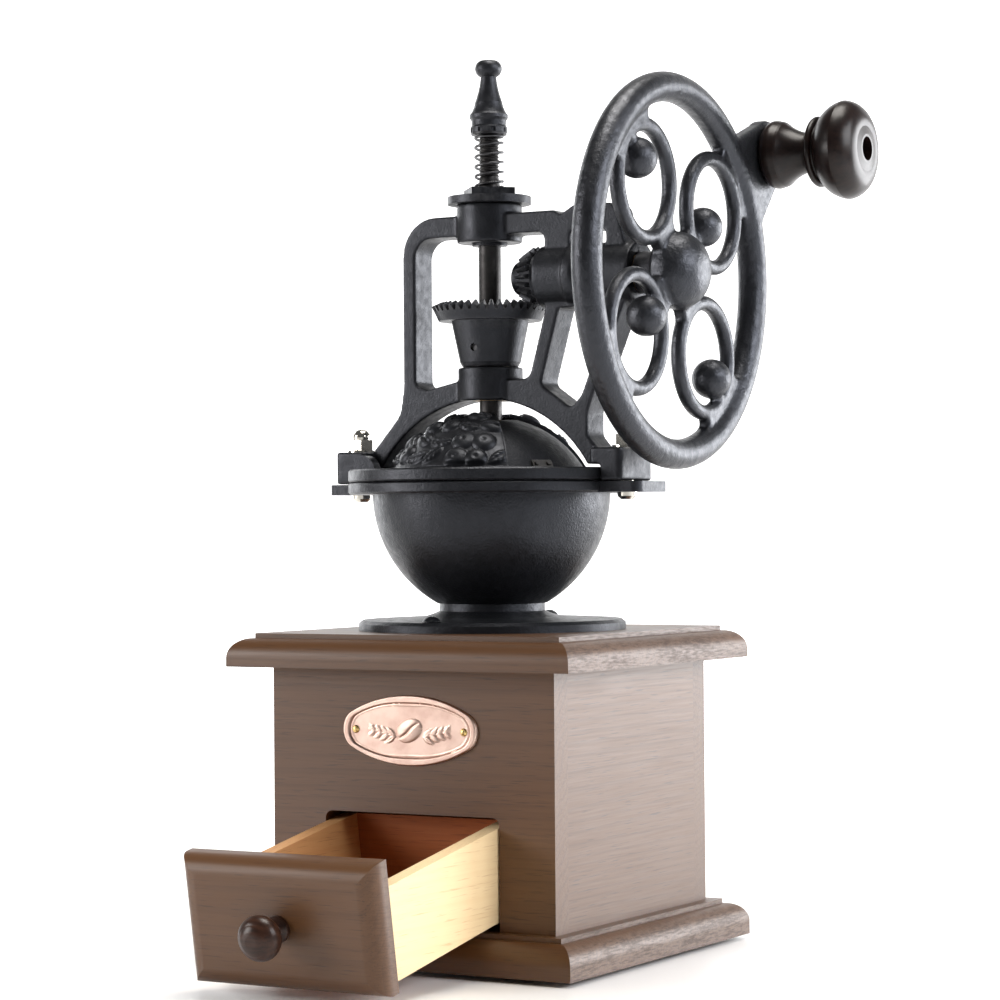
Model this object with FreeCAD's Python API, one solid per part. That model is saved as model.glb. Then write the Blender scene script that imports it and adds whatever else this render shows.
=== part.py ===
"""Hand crank coffee grinder: wooden box with a drawer, cast hopper with a domed lid, geared burr
spindle under an adjusting spring, and a scrolled crank wheel with a turned knob.

Frame: origin at the centre of the rest face, +Z up, -Y towards the drawer, +X towards the wheel.
Millimetres throughout.
"""
import FreeCAD, Part
import math
import os

Vec = FreeCAD.Vector
X_AXIS, Y_AXIS, Z_AXIS = Vec(1, 0, 0), Vec(0, 1, 0), Vec(0, 0, 1)
FIT = 0.05                      # radial clearance of every running fit

# ---- wooden box -------------------------------------------------------------------------------
PAD_T, PAD_HALF = 1.5, 50.0     # cork pad under the box
BOARD_HALF = 60.0               # top and bottom boards are square
BOTTOM_T, TOP_T = 11.6, 10.2
OVOLO_R, QUIRK, BOARD_INSET = 6.0, 1.5, 6.5
BOX_HALF, BOX_H, WALL_T = 49.5, 77.4, 8.0
BOTTOM_TOP = PAD_T + BOTTOM_T
BOX_TOP = BOTTOM_TOP + BOX_H
DECK = BOX_TOP + TOP_T          # upper face of the top board, where the casting stands
CHUTE_R = 15.0                  # hole in the top board under the burrs
OPENING_HALF, OPENING_TOP, OPENING_R = 30.6, 46.8, 2.4
RUNNER_T, RUNNER_W = 3.1, 9.0
PLATE_Z, PLATE_HALF_W, PLATE_HALF_H, PLATE_T = 71.9, 23.6, 10.7, 1.2
PIN_X, PIN_R = 19.0, 1.4

# ---- drawer, drawn shut and level, then moved to where it hangs open ---------------------------
PANEL_W, PANEL_H, PANEL_T, PANEL_EDGE = 65.6, 38.4, 8.2, 2.6
PANEL_BOTTOM, PANEL_GAP = 14.8, 0.3
SIDE_BOTTOM, SIDE_H, SIDE_T, SIDE_OUT = 16.7, 27.4, 4.6, 30.0
DRAWER_BACK = 30.0              # rear face of the tray when shut
TRAY_FLOOR_T = 2.4
STOP_R, STOP_REACH = 1.6, 3.2       # pins at the tail that catch behind the front panel
STOP_Y, STOP_Z = 22.8, 26.5
DROOP = 9.8                     # degrees the open drawer hangs down
STOP_OPEN_Y, STOP_OPEN_Z = -39.7, 27.5
KNOB_PANEL_Z = PANEL_BOTTOM + PANEL_H / 2 - 0.3

# ---- hopper casting ---------------------------------------------------------------------------
DISC_R, DISC_T = 42.0, 3.6
NECK_R, NECK_TOP, BOWL_TOP = 16.6, 108.6, 143.3
BOWL_MOUTH_R, BOWL_MID_R, BOWL_MID_Z, BOWL_WALL = 37.4, 30.9, 122.0, 2.8
FLANGE_R, FLANGE_TOP = 45.0, 146.8
LUG_LEFT, LUG_RIGHT, LUG_HALF, LUG_CORNER = -55.0, 57.5, 10.0, 3.0
RING_BOTTOM, RING_TOP, RING_BORE = 147.1, 151.0, 30.9
BOSS_R, BOSS_X, BOSS_LENGTH = 4.8, 39.2, 3.8     # half-round stops cast on the lid ring
BOLT_X, BOLT_R = 48.3, 2.0
SCREW_Y, SCREW_HEAD_R, SCREW_HEAD_H = 36.8, 2.9, 1.5
THROAT_R = 13.0
BURR_SEAT_R, BURR_BOTTOM, BURR_TOP = 14.2, 101.4, 111.4

# ---- domed lid --------------------------------------------------------------------------------
DOME_Z = 133.2                  # centre of the dome's spheres
DOME_R_OUT, DOME_T = 35.8, 1.2
DOOR_R_OUT, DOOR_T = 34.2, 1.2
DOOR_FROM, DOOR_TO = -60.0, 52.0         # degrees about +Z, from +X
GAP_FROM, GAP_TO = -50.0, 42.0
DOME_FLAT, DOOR_CROWN = 168.4, 166.3
SHAFT_HOLE_R, DOOR_EYE_R = 6.2, 8.6
TAB_ANGLE, TAB_Z = -27.0, 152.0

# ---- yoke frame: outlines lie in the XZ plane ---------------------------------------------------
YOKE_HALF = 5.5
ARCH_Z, ARCH_R = 129.5, 43.5
YOKE_TOP, YOKE_LEFT = 230.8, -28.8
FOOT_IN, FOOT_OUT, FOOT_HALF, FOOT_TOP = 40.3, 51.6, 10.6, 157.0
FOOT_NOTCH_IN, FOOT_NOTCH_Z = 45.6, 151.9
LOW_HUB_R, LOW_HUB_Z0, LOW_HUB_Z1 = 10.15, 172.5, 182.9
TOP_HUB_R, TOP_HUB_Z0, TOP_HUB_Z1 = 10.25, 222.1, 234.3
BARREL_R, BARREL_X0, BARREL_X1 = 9.9, 20.2, 53.6
LIP_X0, LIP_X1 = 31.0, 34.0     # raised band round the barrel
CRANK_Z = 210.4                 # crank axis, along +X; the bevel gears' common apex is at x = 0
BUSH_R, BARREL_BUSH_R = 5.5, 6.0

# ---- spindle ----------------------------------------------------------------------------------
SHAFT_R, THREAD_R = 3.5, 3.2
SHAFT_BOTTOM, SHAFT_TOP = 94.5, 262.2
FINIAL_TRAVEL = 3.0             # how far the adjusting nut screws down
MODULE, RING_TEETH, PINION_TEETH = 0.9, 40, 20
RING_FACE, PINION_FACE = 3.2, 5.4
PINION_BOSS_R, PINION_BOSS_X = 5.2, 10.2
BACKLASH = 0.16
PRESSURE_ANGLE = math.radians(20)
GEAR_BACK_Z, CONE_TOP_R, CONE_BOTTOM_R = 197.6, 12.2, 9.15
GEAR_PIN_Z, GEAR_PIN_R = 189.0, 1.2
FLANGE_BUSH_R, FLANGE_BUSH_T, SQUARE_SIDE, SQUARE_H = 13.15, 2.4, 13.8, 2.6
SQUARE_TURN = 41.0
SPRING_R, SPRING_WIRE, SPRING_TURNS = 4.3, 0.42, 5.0
SPRING_BOTTOM = TOP_HUB_Z1 + FLANGE_BUSH_T + SQUARE_H
CUP_WASHER_T = 0.7
FINIAL_BOTTOM = 257.0

# ---- crank, wheel and knob -----------------------------------------------------------------------
CRANK_R, CRANK_X0, CRANK_X1 = 4.0, 15.0, 69.0
COLLAR_R, COLLAR_SCREW_X = 6.4, 57.0
WHEEL_X, RIM_R, RIM_TUBE = 64.8, 55.8, 4.6
SCROLL_X0, SCROLL_X1 = 62.5, 67.3
SCROLL_PCR, SCROLL_R, SCROLL_TUBE = 32.3, 17.0, 2.4
SCROLL_ANGLE = 37.5             # first scroll, from +Y towards +Z
BALL_R = 6.2
HUB_R, HUB_BACK, HUB_FRONT = 12.0, 60.3, 75.4
HANDLE_Y, HANDLE_Z = 59.3, 251.2
EAR_R, EAR_X0, EAR_X1 = 11.2, 64.9, 69.4
KNOB_X0, KNOB_BALL_X, KNOB_END = 69.7, 96.6, 103.4
KNOB_BORE, KNOB_SINK_R, KNOB_SINK_X = 2.1, 3.8, 94.0


def cylinder(radius, low, high, x=0.0, y=0.0):
    """Upright cylinder between two heights."""
    return Part.makeCylinder(radius, high - low, Vec(x, y, low), Z_AXIS)


def cylinder_x(radius, low, high, y=0.0, z=0.0):
    """Cylinder along X between two stations."""
    return Part.makeCylinder(radius, high - low, Vec(low, y, z), X_AXIS)


def cylinder_y(radius, low, high, x=0.0, z=0.0):
    """Cylinder along Y between two stations."""
    return Part.makeCylinder(radius, high - low, Vec(x, low, z), Y_AXIS)


def tube(outer, inner, low, high, x=0.0, y=0.0):
    """Upright tube."""
    return cylinder(outer, low, high, x, y).cut(cylinder(inner, low - 1, high + 1, x, y))


def block(x0, x1, y0, y1, z0, z1):
    """Box between two corners."""
    return Part.makeBox(x1 - x0, y1 - y0, z1 - z0, Vec(x0, y0, z0))


def joined(shapes):
    """One solid from overlapping solids."""
    whole = shapes[0].fuse(list(shapes[1:]))
    return whole.removeSplitter()


def group(shapes):
    """Separate solids kept together in one node."""
    return Part.makeCompound(list(shapes))


def profile_wire(steps, place):
    """Closed wire. A step is a point (a, b), or ((a, b), (a, b)): the middle and end of an arc."""
    edges = []
    start = here = steps[0]
    for step in list(steps[1:]) + [start]:
        if isinstance(step[0], tuple):
            middle, end = step
            edges.append(Part.Arc(place(*here), place(*middle), place(*end)).toShape())
        else:
            end = step
            if math.dist(here, end) < 1e-6:
                continue
            edges.append(Part.LineSegment(place(*here), place(*end)).toShape())
        here = end
    return Part.Wire(edges)


def lathe(steps):
    """Solid of revolution about Z from a profile of (radius, height) steps."""
    wire = profile_wire(steps, lambda r, z: Vec(r, 0, z))
    return Part.Face(wire).revolve(Vec(0, 0, 0), Z_AXIS, 360)


def lathe_x(steps, y=0.0, z=0.0):
    """Solid of revolution about an axis along X from a profile of (station, radius) steps."""
    wire = profile_wire(steps, lambda x, r: Vec(x, y, z + r))
    return Part.Face(wire).revolve(Vec(0, y, z), X_AXIS, 360)


def rounded_steps(corners):
    """Profile steps for a polygon whose corners (a, b, radius) are rounded."""
    steps = []
    count = len(corners)
    for i, (a, b, radius) in enumerate(corners):
        if radius <= 0:
            steps.append((a, b))
            continue
        before, after = corners[i - 1], corners[(i + 1) % count]
        into = Vec(before[0] - a, before[1] - b, 0).normalize()
        out = Vec(after[0] - a, after[1] - b, 0).normalize()
        half = into.getAngle(out) / 2
        reach = radius / math.tan(half)
        bisector = (into + out).normalize()
        corner = Vec(a, b, 0)
        centre = corner + bisector * (radius / math.sin(half))
        first, last = corner + into * reach, corner + out * reach
        middle = centre - bisector * radius
        steps.append((first.x, first.y))
        steps.append(((middle.x, middle.y), (last.x, last.y)))
    return steps


def slab_xz(steps, y0, y1):
    """Plate whose outline lies in the XZ plane."""
    wire = profile_wire(steps, lambda x, z: Vec(x, y0, z))
    return Part.Face(wire).extrude(Vec(0, y1 - y0, 0))


def slab_xy(steps, z0, z1):
    """Plate whose outline lies in the XY plane."""
    wire = profile_wire(steps, lambda x, y: Vec(x, y, z0))
    return Part.Face(wire).extrude(Vec(0, 0, z1 - z0))


def slab_yz(steps, x0, x1):
    """Plate whose outline lies in the YZ plane."""
    wire = profile_wire(steps, lambda y, z: Vec(x0, y, z))
    return Part.Face(wire).extrude(Vec(x1 - x0, 0, 0))


def hexagon(across_flats, low, high, x=0.0, y=0.0):
    """Upright hexagonal prism."""
    corner_r = across_flats / math.sqrt(3)
    corners = []
    for i in range(6):
        turn = math.radians(60 * i)
        corners.append((x + corner_r * math.cos(turn), y + corner_r * math.sin(turn)))
    return slab_xy(corners, low, high)


# ---- wooden box -------------------------------------------------------------------------------
def moulded_board(bottom, thickness):
    """Square board with a quirk and ovolo worked round its upper edge, mitred at the corners."""
    top, half, inner = bottom + thickness, BOARD_HALF, BOARD_HALF - BOARD_INSET
    shoulder = top - QUIRK
    bend = OVOLO_R * math.sqrt(0.5)
    steps = [(-half, bottom), (half, bottom), (half, shoulder - OVOLO_R),
             ((half - OVOLO_R + bend, shoulder - OVOLO_R + bend), (half - OVOLO_R, shoulder)),
             (inner, shoulder), (inner, top), (-inner, top), (-inner, shoulder),
             (OVOLO_R - half, shoulder),
             ((OVOLO_R - half - bend, shoulder - OVOLO_R + bend), (-half, shoulder - OVOLO_R))]
    return slab_xz(steps, -half, half).common(slab_yz(steps, -half, half))


def base_pad():
    corners = [(-PAD_HALF, -PAD_HALF, 4), (PAD_HALF, -PAD_HALF, 4),
               (PAD_HALF, PAD_HALF, 4), (-PAD_HALF, PAD_HALF, 4)]
    return slab_xy(rounded_steps(corners), 0, PAD_T)


def box_screw_places():
    place = BOX_HALF - WALL_T / 2
    return [(x, y) for x in (-place, place) for y in (-place, place)]


def bottom_board():
    board = moulded_board(PAD_T, BOTTOM_T)
    for x, y in box_screw_places():
        board = board.cut(cylinder(1.75, PAD_T - 1, BOTTOM_TOP + 1, x, y))
    return board


def top_board():
    return moulded_board(BOX_TOP, TOP_T).cut(cylinder(CHUTE_R, BOX_TOP - 1, DECK + 1))


def front_panel():
    panel = block(-BOX_HALF, BOX_HALF, -BOX_HALF, WALL_T - BOX_HALF, BOTTOM_TOP, BOX_TOP)
    opening = block(-OPENING_HALF, OPENING_HALF, -BOX_HALF - 1, WALL_T - BOX_HALF + 1,
                    BOTTOM_TOP - 1, OPENING_TOP)
    corners = [e for e in opening.Edges
               if e.BoundBox.YLength > WALL_T and e.BoundBox.ZMin > OPENING_TOP - 1]
    return panel.cut(opening.makeFillet(OPENING_R, corners))


def back_panel():
    return block(-BOX_HALF, BOX_HALF, BOX_HALF - WALL_T, BOX_HALF, BOTTOM_TOP, BOX_TOP)


def side_panel(sign):
    inner, outer = sign * (BOX_HALF - WALL_T), sign * BOX_HALF
    reach = BOX_HALF - WALL_T
    return block(min(inner, outer), max(inner, outer), -reach, reach, BOTTOM_TOP, BOX_TOP)


def drawer_runners():
    """Two strips that carry the shut drawer's tray."""
    strips = []
    for sign in (-1, 1):
        inner, outer = sign * (SIDE_OUT - RUNNER_W + 3), sign * (SIDE_OUT + 3)
        strips.append(block(min(inner, outer), max(inner, outer), -8, BOX_HALF - WALL_T,
                            BOTTOM_TOP, BOTTOM_TOP + RUNNER_T))
    return group(strips)


def box_screws():
    """Countersunk wood screws up through the bottom board into the box corners."""
    screws = []
    for x, y in box_screw_places():
        shank = cylinder(1.75, PAD_T + 0.4, BOTTOM_TOP, x, y)
        tip = Part.makeCone(1.75, 0.5, 9, Vec(x, y, BOTTOM_TOP), Z_AXIS)
        screws.append(shank.fuse(tip))
    return screws


def screwed(panel):
    """A box panel with pilot holes for the screws under it."""
    for screw in box_screws():
        panel = panel.cut(screw)
    return panel


def lens_steps(half_w, half_h, end_r):
    """Outline of a long oval: two shallow arcs closed by two small end arcs."""
    tip_x, tip_z = half_w - end_r * 0.35, end_r * 0.76
    return [(-tip_x, -tip_z), ((0, -half_h), (tip_x, -tip_z)), ((half_w, 0), (tip_x, tip_z)),
            ((0, half_h), (-tip_x, tip_z)), ((-half_w, 0), (-tip_x, -tip_z))]


def name_plate():
    """Blank pressed plate with a raised border and a plain coffee bean in the middle."""
    face = -BOX_HALF - PLATE_T
    outer = slab_xz(lens_steps(PLATE_HALF_W, PLATE_HALF_H, 6.5), face, -BOX_HALF)
    field = slab_xz(lens_steps(PLATE_HALF_W - 2.6, PLATE_HALF_H - 2.4, 5.2), face - 1, face + 0.5)
    plate = outer.cut(field)
    bean = cylinder_y(4.4, face + 0.2, face + 0.9)
    plate = plate.fuse(bean)
    plate.translate(Vec(0, 0, PLATE_Z))
    for x in (-PIN_X, PIN_X):
        plate = plate.cut(cylinder_y(PIN_R * 0.6, face - 2, 0, x, PLATE_Z))
    return plate


def plate_pins():
    pins = []
    for x in (-PIN_X, PIN_X):
        shank = cylinder_y(PIN_R * 0.6, -BOX_HALF - PLATE_T, -BOX_HALF + 4, x, PLATE_Z)
        head = Part.makeSphere(PIN_R, Vec(x, -BOX_HALF - PLATE_T + 1.2, PLATE_Z))
        head = head.common(block(x - 3, x + 3, -BOX_HALF - 4, -BOX_HALF - PLATE_T + 0.5,
                                 PLATE_Z - 3, PLATE_Z + 3))
        pins.append(head.fuse(shank))
    return group(pins)


# ---- drawer -----------------------------------------------------------------------------------
def opened(shape):
    """Swings the shut, level drawer down about its stop pins and carries it to the open place."""
    moved = shape.copy()
    moved.rotate(Vec(0, STOP_Y, STOP_Z), X_AXIS, DROOP)
    moved.translate(Vec(0, STOP_OPEN_Y - STOP_Y, STOP_OPEN_Z - STOP_Z))
    return moved


def drawer_front():
    """Overlay front with a rounded moulding worked round its face."""
    back = -BOX_HALF - PANEL_GAP
    face, edge = back - PANEL_T, back - PANEL_EDGE
    depth = PANEL_T - PANEL_EDGE
    bend = depth * math.sqrt(0.5)
    half, bottom, top = PANEL_W / 2, PANEL_BOTTOM, PANEL_BOTTOM + PANEL_H

    def steps(low, high):
        return [(low, back), (low, edge), ((low + depth - bend, edge - bend), (low + depth, face)),
                (high - depth, face), ((high - depth + bend, edge - bend), (high, edge)),
                (high, back)]

    across = slab_xy(steps(-half, half), bottom, top)
    upright_wire = profile_wire(steps(bottom, top), lambda z, y: Vec(-half, y, z))
    upright = Part.Face(upright_wire).extrude(Vec(PANEL_W, 0, 0))
    panel = across.common(upright)
    return panel.cut(cylinder_y(2.0, face - 1, back + 1, 0, KNOB_PANEL_Z))


def drawer_side(sign):
    inner, outer = sign * (SIDE_OUT - SIDE_T), sign * SIDE_OUT
    side = block(min(inner, outer), max(inner, outer), -BOX_HALF - PANEL_GAP, DRAWER_BACK,
                 SIDE_BOTTOM, SIDE_BOTTOM + SIDE_H)
    groove = block(min(inner, inner + sign * 2), max(inner, inner + sign * 2),
                   -BOX_HALF - 2, DRAWER_BACK + 1, SIDE_BOTTOM + 2, SIDE_BOTTOM + 2 + TRAY_FLOOR_T)
    socket = sorted((sign * (SIDE_OUT - SIDE_T + 1), sign * (SIDE_OUT + 1)))
    return side.cut(groove).cut(cylinder_x(STOP_R + FIT, socket[0], socket[1], STOP_Y, STOP_Z))


def drawer_back():
    return block(SIDE_T - SIDE_OUT, SIDE_OUT - SIDE_T, DRAWER_BACK - SIDE_T, DRAWER_BACK,
                 SIDE_BOTTOM + 2 + TRAY_FLOOR_T, SIDE_BOTTOM + SIDE_H)


def drawer_floor():
    reach = SIDE_OUT - SIDE_T + 2
    return block(-reach, reach, -BOX_HALF - PANEL_GAP, DRAWER_BACK,
                 SIDE_BOTTOM + 2, SIDE_BOTTOM + 2 + TRAY_FLOOR_T)


def drawer_knob():
    """Turned mushroom knob: foot disc, waist and flattened ball."""
    face = -BOX_HALF - PANEL_GAP - PANEL_T
    steps = [(0, 0), (3.9, 0), (3.9, 1.2), (2.6, 2.6), ((2.5, 4.2), (3.6, 5.4)),
             ((6.6, 9.3), (4.7, 12.6)), ((3.4, 13.5), (1.8, 13.9)), (0, 13.9)]
    knob = lathe(steps)
    knob = knob.cut(cylinder(1.5, -1, 8))
    knob.rotate(Vec(0, 0, 0), X_AXIS, 90)
    knob.translate(Vec(0, face, KNOB_PANEL_Z))
    return knob


def drawer_knob_screw():
    """Screw from inside the tray through the front into the knob."""
    face, back = -BOX_HALF - PANEL_GAP - PANEL_T, -BOX_HALF - PANEL_GAP
    shank = cylinder_y(1.5, face - 7.5, back + 0.5, 0, KNOB_PANEL_Z)
    head = cylinder_y(3.4, back, back + 2.0, 0, KNOB_PANEL_Z)
    slot = block(-4, 4, back + 1.2, back + 3, KNOB_PANEL_Z - 0.4, KNOB_PANEL_Z + 0.4)
    return shank.fuse(head).cut(slot)


def stop_pins():
    """Pins that stand out of the tray's tail and catch behind the front panel."""
    pins = []
    for sign in (-1, 1):
        ends = sorted((sign * (SIDE_OUT - SIDE_T + 1.2), sign * (SIDE_OUT + STOP_REACH)))
        pins.append(cylinder_x(STOP_R, ends[0], ends[1], STOP_OPEN_Y, STOP_OPEN_Z))
    return group(pins)


# ---- hopper casting ---------------------------------------------------------------------------
def lug_steps():
    """Both bolt lugs in one outline."""
    return rounded_steps([(LUG_LEFT, -LUG_HALF, LUG_CORNER), (LUG_RIGHT, -LUG_HALF, LUG_CORNER),
                          (LUG_RIGHT, LUG_HALF, LUG_CORNER), (LUG_LEFT, LUG_HALF, LUG_CORNER)])


def screw_places():
    return [(0.0, -SCREW_Y), (0.0, SCREW_Y)]


def hopper_foot():
    """Base disc and neck under the bowl."""
    disc_top, top = DECK + DISC_T, NECK_TOP + 0.4
    foot = lathe([(0, DECK), (DISC_R, DECK), (DISC_R, disc_top - 1.4), (DISC_R - 1.2, disc_top - 0.4),
                  (NECK_R + 5.5, disc_top + 0.5),
                  ((NECK_R + 1.6, disc_top + 1.6), (NECK_R, NECK_TOP - 2)), (NECK_R, top), (0, top)])
    foot = foot.cut(cylinder(BURR_SEAT_R, DECK - 1, top + 1))
    for x, y in screw_places():
        foot = foot.cut(cylinder(1.9, DECK - 1, disc_top + 2, x, y))
    return foot


def hopper_bowl():
    """Bowl casting on the neck, with its flange and two bolt lugs."""
    low, wall = NECK_TOP + 0.4, BOWL_WALL
    outside = [(0, low), (NECK_R + 0.6, low), ((BOWL_MID_R, BOWL_MID_Z), (BOWL_MOUTH_R, BOWL_TOP)),
               (FLANGE_R - 0.6, BOWL_TOP), (FLANGE_R, BOWL_TOP + 0.6), (FLANGE_R, FLANGE_TOP - 0.4),
               (FLANGE_R - 0.4, FLANGE_TOP), (0, FLANGE_TOP)]
    inside = [(0, NECK_TOP + 3), (THROAT_R, NECK_TOP + 3), (THROAT_R + 2, NECK_TOP + 4),
              ((BOWL_MID_R - wall, BOWL_MID_Z + 1), (BOWL_MOUTH_R - wall, BOWL_TOP)),
              (BOWL_MOUTH_R - wall, FLANGE_TOP + 1), (0, FLANGE_TOP + 1)]
    casting = joined([lathe(outside), slab_xy(lug_steps(), BOWL_TOP, FLANGE_TOP - 0.2)])
    casting = casting.cut(lathe(inside))
    casting = casting.cut(cylinder(THROAT_R, low - 1, NECK_TOP + 4))
    casting = casting.cut(cylinder(BURR_SEAT_R, low - 1, BURR_TOP))
    for x in (-BOLT_X, BOLT_X):
        casting = casting.cut(cylinder(BOLT_R + 0.15, BOWL_TOP - 2, FLANGE_TOP + 2, x))
    return casting


def disc_screws():
    """Pan-headed wood screws, cross recessed, that hold the casting to the top board."""
    screws = []
    ball_r = (SCREW_HEAD_R ** 2 + SCREW_HEAD_H ** 2) / (2 * SCREW_HEAD_H)
    seat = DECK + DISC_T
    for x, y in screw_places():
        shank = cylinder(1.6, DECK - 8, seat + 0.5, x, y)
        ball = Part.makeSphere(ball_r, Vec(x, y, seat + SCREW_HEAD_H - ball_r))
        screw = shank.fuse(ball.common(cylinder(SCREW_HEAD_R, seat, seat + 3, x, y)))
        for across, along in ((1.7, 0.35), (0.35, 1.7)):
            screw = screw.cut(block(x - across, x + across, y - along, y + along,
                                    seat + 0.6, seat + 3))
        screws.append(screw)
    return screws


def outer_burr():
    """Fixed grinding ring, open cone inside with cutting grooves."""
    ring = lathe([(11.0, BURR_BOTTOM), (BURR_SEAT_R, BURR_BOTTOM), (BURR_SEAT_R, BURR_TOP),
                  (12.2, BURR_TOP), (9.9, BURR_BOTTOM + 3)])
    for i in range(16):
        cutter = Part.makeCylinder(0.9, 14, Vec(10.6, 0, BURR_BOTTOM - 1), Vec(0.18, 0.16, 1))
        cutter.rotate(Vec(0, 0, 0), Z_AXIS, i * 360 / 16)
        ring = ring.cut(cutter)
    return ring


# ---- domed lid --------------------------------------------------------------------------------
def sector(start, stop, radius, low, high):
    """Wedge of a disc between two angles about +Z."""
    wedge = Part.makeCylinder(radius, high - low, Vec(0, 0, low), Z_AXIS, stop - start)
    wedge.rotate(Vec(0, 0, 0), Z_AXIS, start)
    return wedge


def dome_shell(outer_r, thickness, foot, flat):
    """Spherical cap shell with a flat crown and a hole for the spindle."""
    centre = Vec(0, 0, DOME_Z)
    outside = Part.makeSphere(outer_r, centre).common(cylinder(60, foot, flat))
    inside = Part.makeSphere(outer_r - thickness, centre)
    inside = inside.common(cylinder(60, foot - 1, flat - thickness))
    return outside.cut(inside).cut(cylinder(SHAFT_HOLE_R, foot, flat + 5))


def ring_boss(turn):
    """Half-round stop on the ring, just clear of the yoke's foot."""
    near = -FOOT_HALF - 0.1
    boss = cylinder_y(BOSS_R, near - BOSS_LENGTH, near, -BOSS_X, RING_TOP)
    boss = boss.common(cylinder(FLANGE_R - 0.3, RING_TOP - 0.8, RING_TOP + BOSS_R + 1))
    boss.rotate(Vec(0, 0, 0), Z_AXIS, turn)
    return boss


def lid_ring():
    """Ring on the hopper with the fixed part of the dome cast on it; the door's gap is open."""
    ring = tube(FLANGE_R, RING_BORE, RING_BOTTOM, RING_TOP)
    ring = ring.makeChamfer(0.5, [e for e in ring.Edges
                                  if abs(e.BoundBox.XLength - 2 * FLANGE_R) < 0.1])
    ledge = tube(RING_BORE + 0.2, RING_BORE - 2.4, RING_BOTTOM, RING_BOTTOM + 1.2)
    dome = dome_shell(DOME_R_OUT, DOME_T, RING_TOP - 1.2, DOME_FLAT)
    gap = sector(GAP_FROM, GAP_TO, 60, RING_TOP, DOME_FLAT + 3)
    return joined([ring, ledge, dome.cut(gap), ring_boss(0), ring_boss(180)])


def lid_door():
    """Smooth sliding door that turns about the spindle, under the fixed dome."""
    door = dome_shell(DOOR_R_OUT, DOOR_T, RING_BOTTOM + 1.5, DOOR_CROWN)
    leaf = door.common(sector(DOOR_FROM, DOOR_TO, 60, RING_BOTTOM, DOOR_CROWN + 3))
    eye = tube(DOOR_EYE_R, SHAFT_HOLE_R, DOOR_CROWN - DOOR_T, DOOR_CROWN)
    return joined([leaf, eye])


def door_tab():
    """Small plate with two rivet heads, fixed low on the door to push it round."""
    tilt = math.degrees(math.asin((TAB_Z - DOME_Z) / DOOR_R_OUT))
    parts = [block(DOOR_R_OUT - 0.6, DOOR_R_OUT + 0.6, -3.6, 3.6, -1.3, 1.3)]
    for y in (-2.2, 2.2):
        parts.append(cylinder_x(0.9, DOOR_R_OUT - 0.2, DOOR_R_OUT + 1.3, y, 0))
    tab = joined(parts)
    tab.rotate(Vec(0, 0, 0), Y_AXIS, -tilt)
    tab.rotate(Vec(0, 0, 0), Z_AXIS, TAB_ANGLE)
    tab.translate(Vec(0, 0, DOME_Z))
    return tab.cut(Part.makeSphere(DOOR_R_OUT, Vec(0, 0, DOME_Z)))


# ---- yoke frame -------------------------------------------------------------------------------
def yoke_outline():
    return rounded_steps([
        (-44.0, 152.0, 0), (-44.0, 157.0, 0), (-40.5, 157.0, 0), (-30.2, 168.6, 9.0),
        (YOKE_LEFT, 178.0, 12.0), (YOKE_LEFT, YOKE_TOP, 12.0), (26.0, YOKE_TOP, 0.6),
        (28.6, 229.4, 0.6), (33.0, 232.0, 1.5), (47.5, 232.0, 3.0), (51.4, 218.0, 0),
        (51.4, 203.5, 0), (42.8, 182.5, 8.0), (37.4, 168.0, 6.0), (37.4, 160.8, 4.0),
        (40.8, 157.0, 0), (44.0, 157.0, 0), (44.0, 152.0, 0)])


def main_window():
    """Opening round the spindle, gear and pinion."""
    return rounded_steps([
        (-24.4, 224.3, 6.0), (22.6, 224.3, 2.5), (22.6, 199.5, 0), (17.0, 179.0, 3.0),
        (8.0, 178.6, 0), (-8.0, 178.9, 0), (-20.0, 176.3, 3.0), (-24.4, 177.6, 2.5)])


def strut_window():
    """Opening between the two struts under the barrel."""
    return rounded_steps([
        (27.6, 200.5, 0), (21.0, 177.0, 2.5), (31.9, 169.3, 2.0), (35.4, 173.5, 3.0),
        (46.4, 200.5, 0)])


def slot_window():
    """Oblong slot above the barrel."""
    return rounded_steps([(31.6, 224.3, 1.8), (44.2, 224.3, 1.8), (44.2, 219.4, 0.8), (31.6, 219.4, 0.8)])


def yoke_foot(sign):
    """Foot block over a lug, notched where it reaches over the lid ring."""
    xs = sorted((sign * FOOT_IN, sign * FOOT_OUT))
    foot = block(xs[0], xs[1], -FOOT_HALF, FOOT_HALF, FLANGE_TOP, FOOT_TOP)
    foot = foot.makeFillet(1.6, [e for e in foot.Edges if e.BoundBox.ZLength > 5])
    foot = foot.cut(cylinder(FOOT_NOTCH_IN, FLANGE_TOP - 1, FOOT_NOTCH_Z))
    return foot.cut(cylinder(BOLT_R + 0.15, FLANGE_TOP - 1, FOOT_TOP + 1, sign * BOLT_X))


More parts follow.
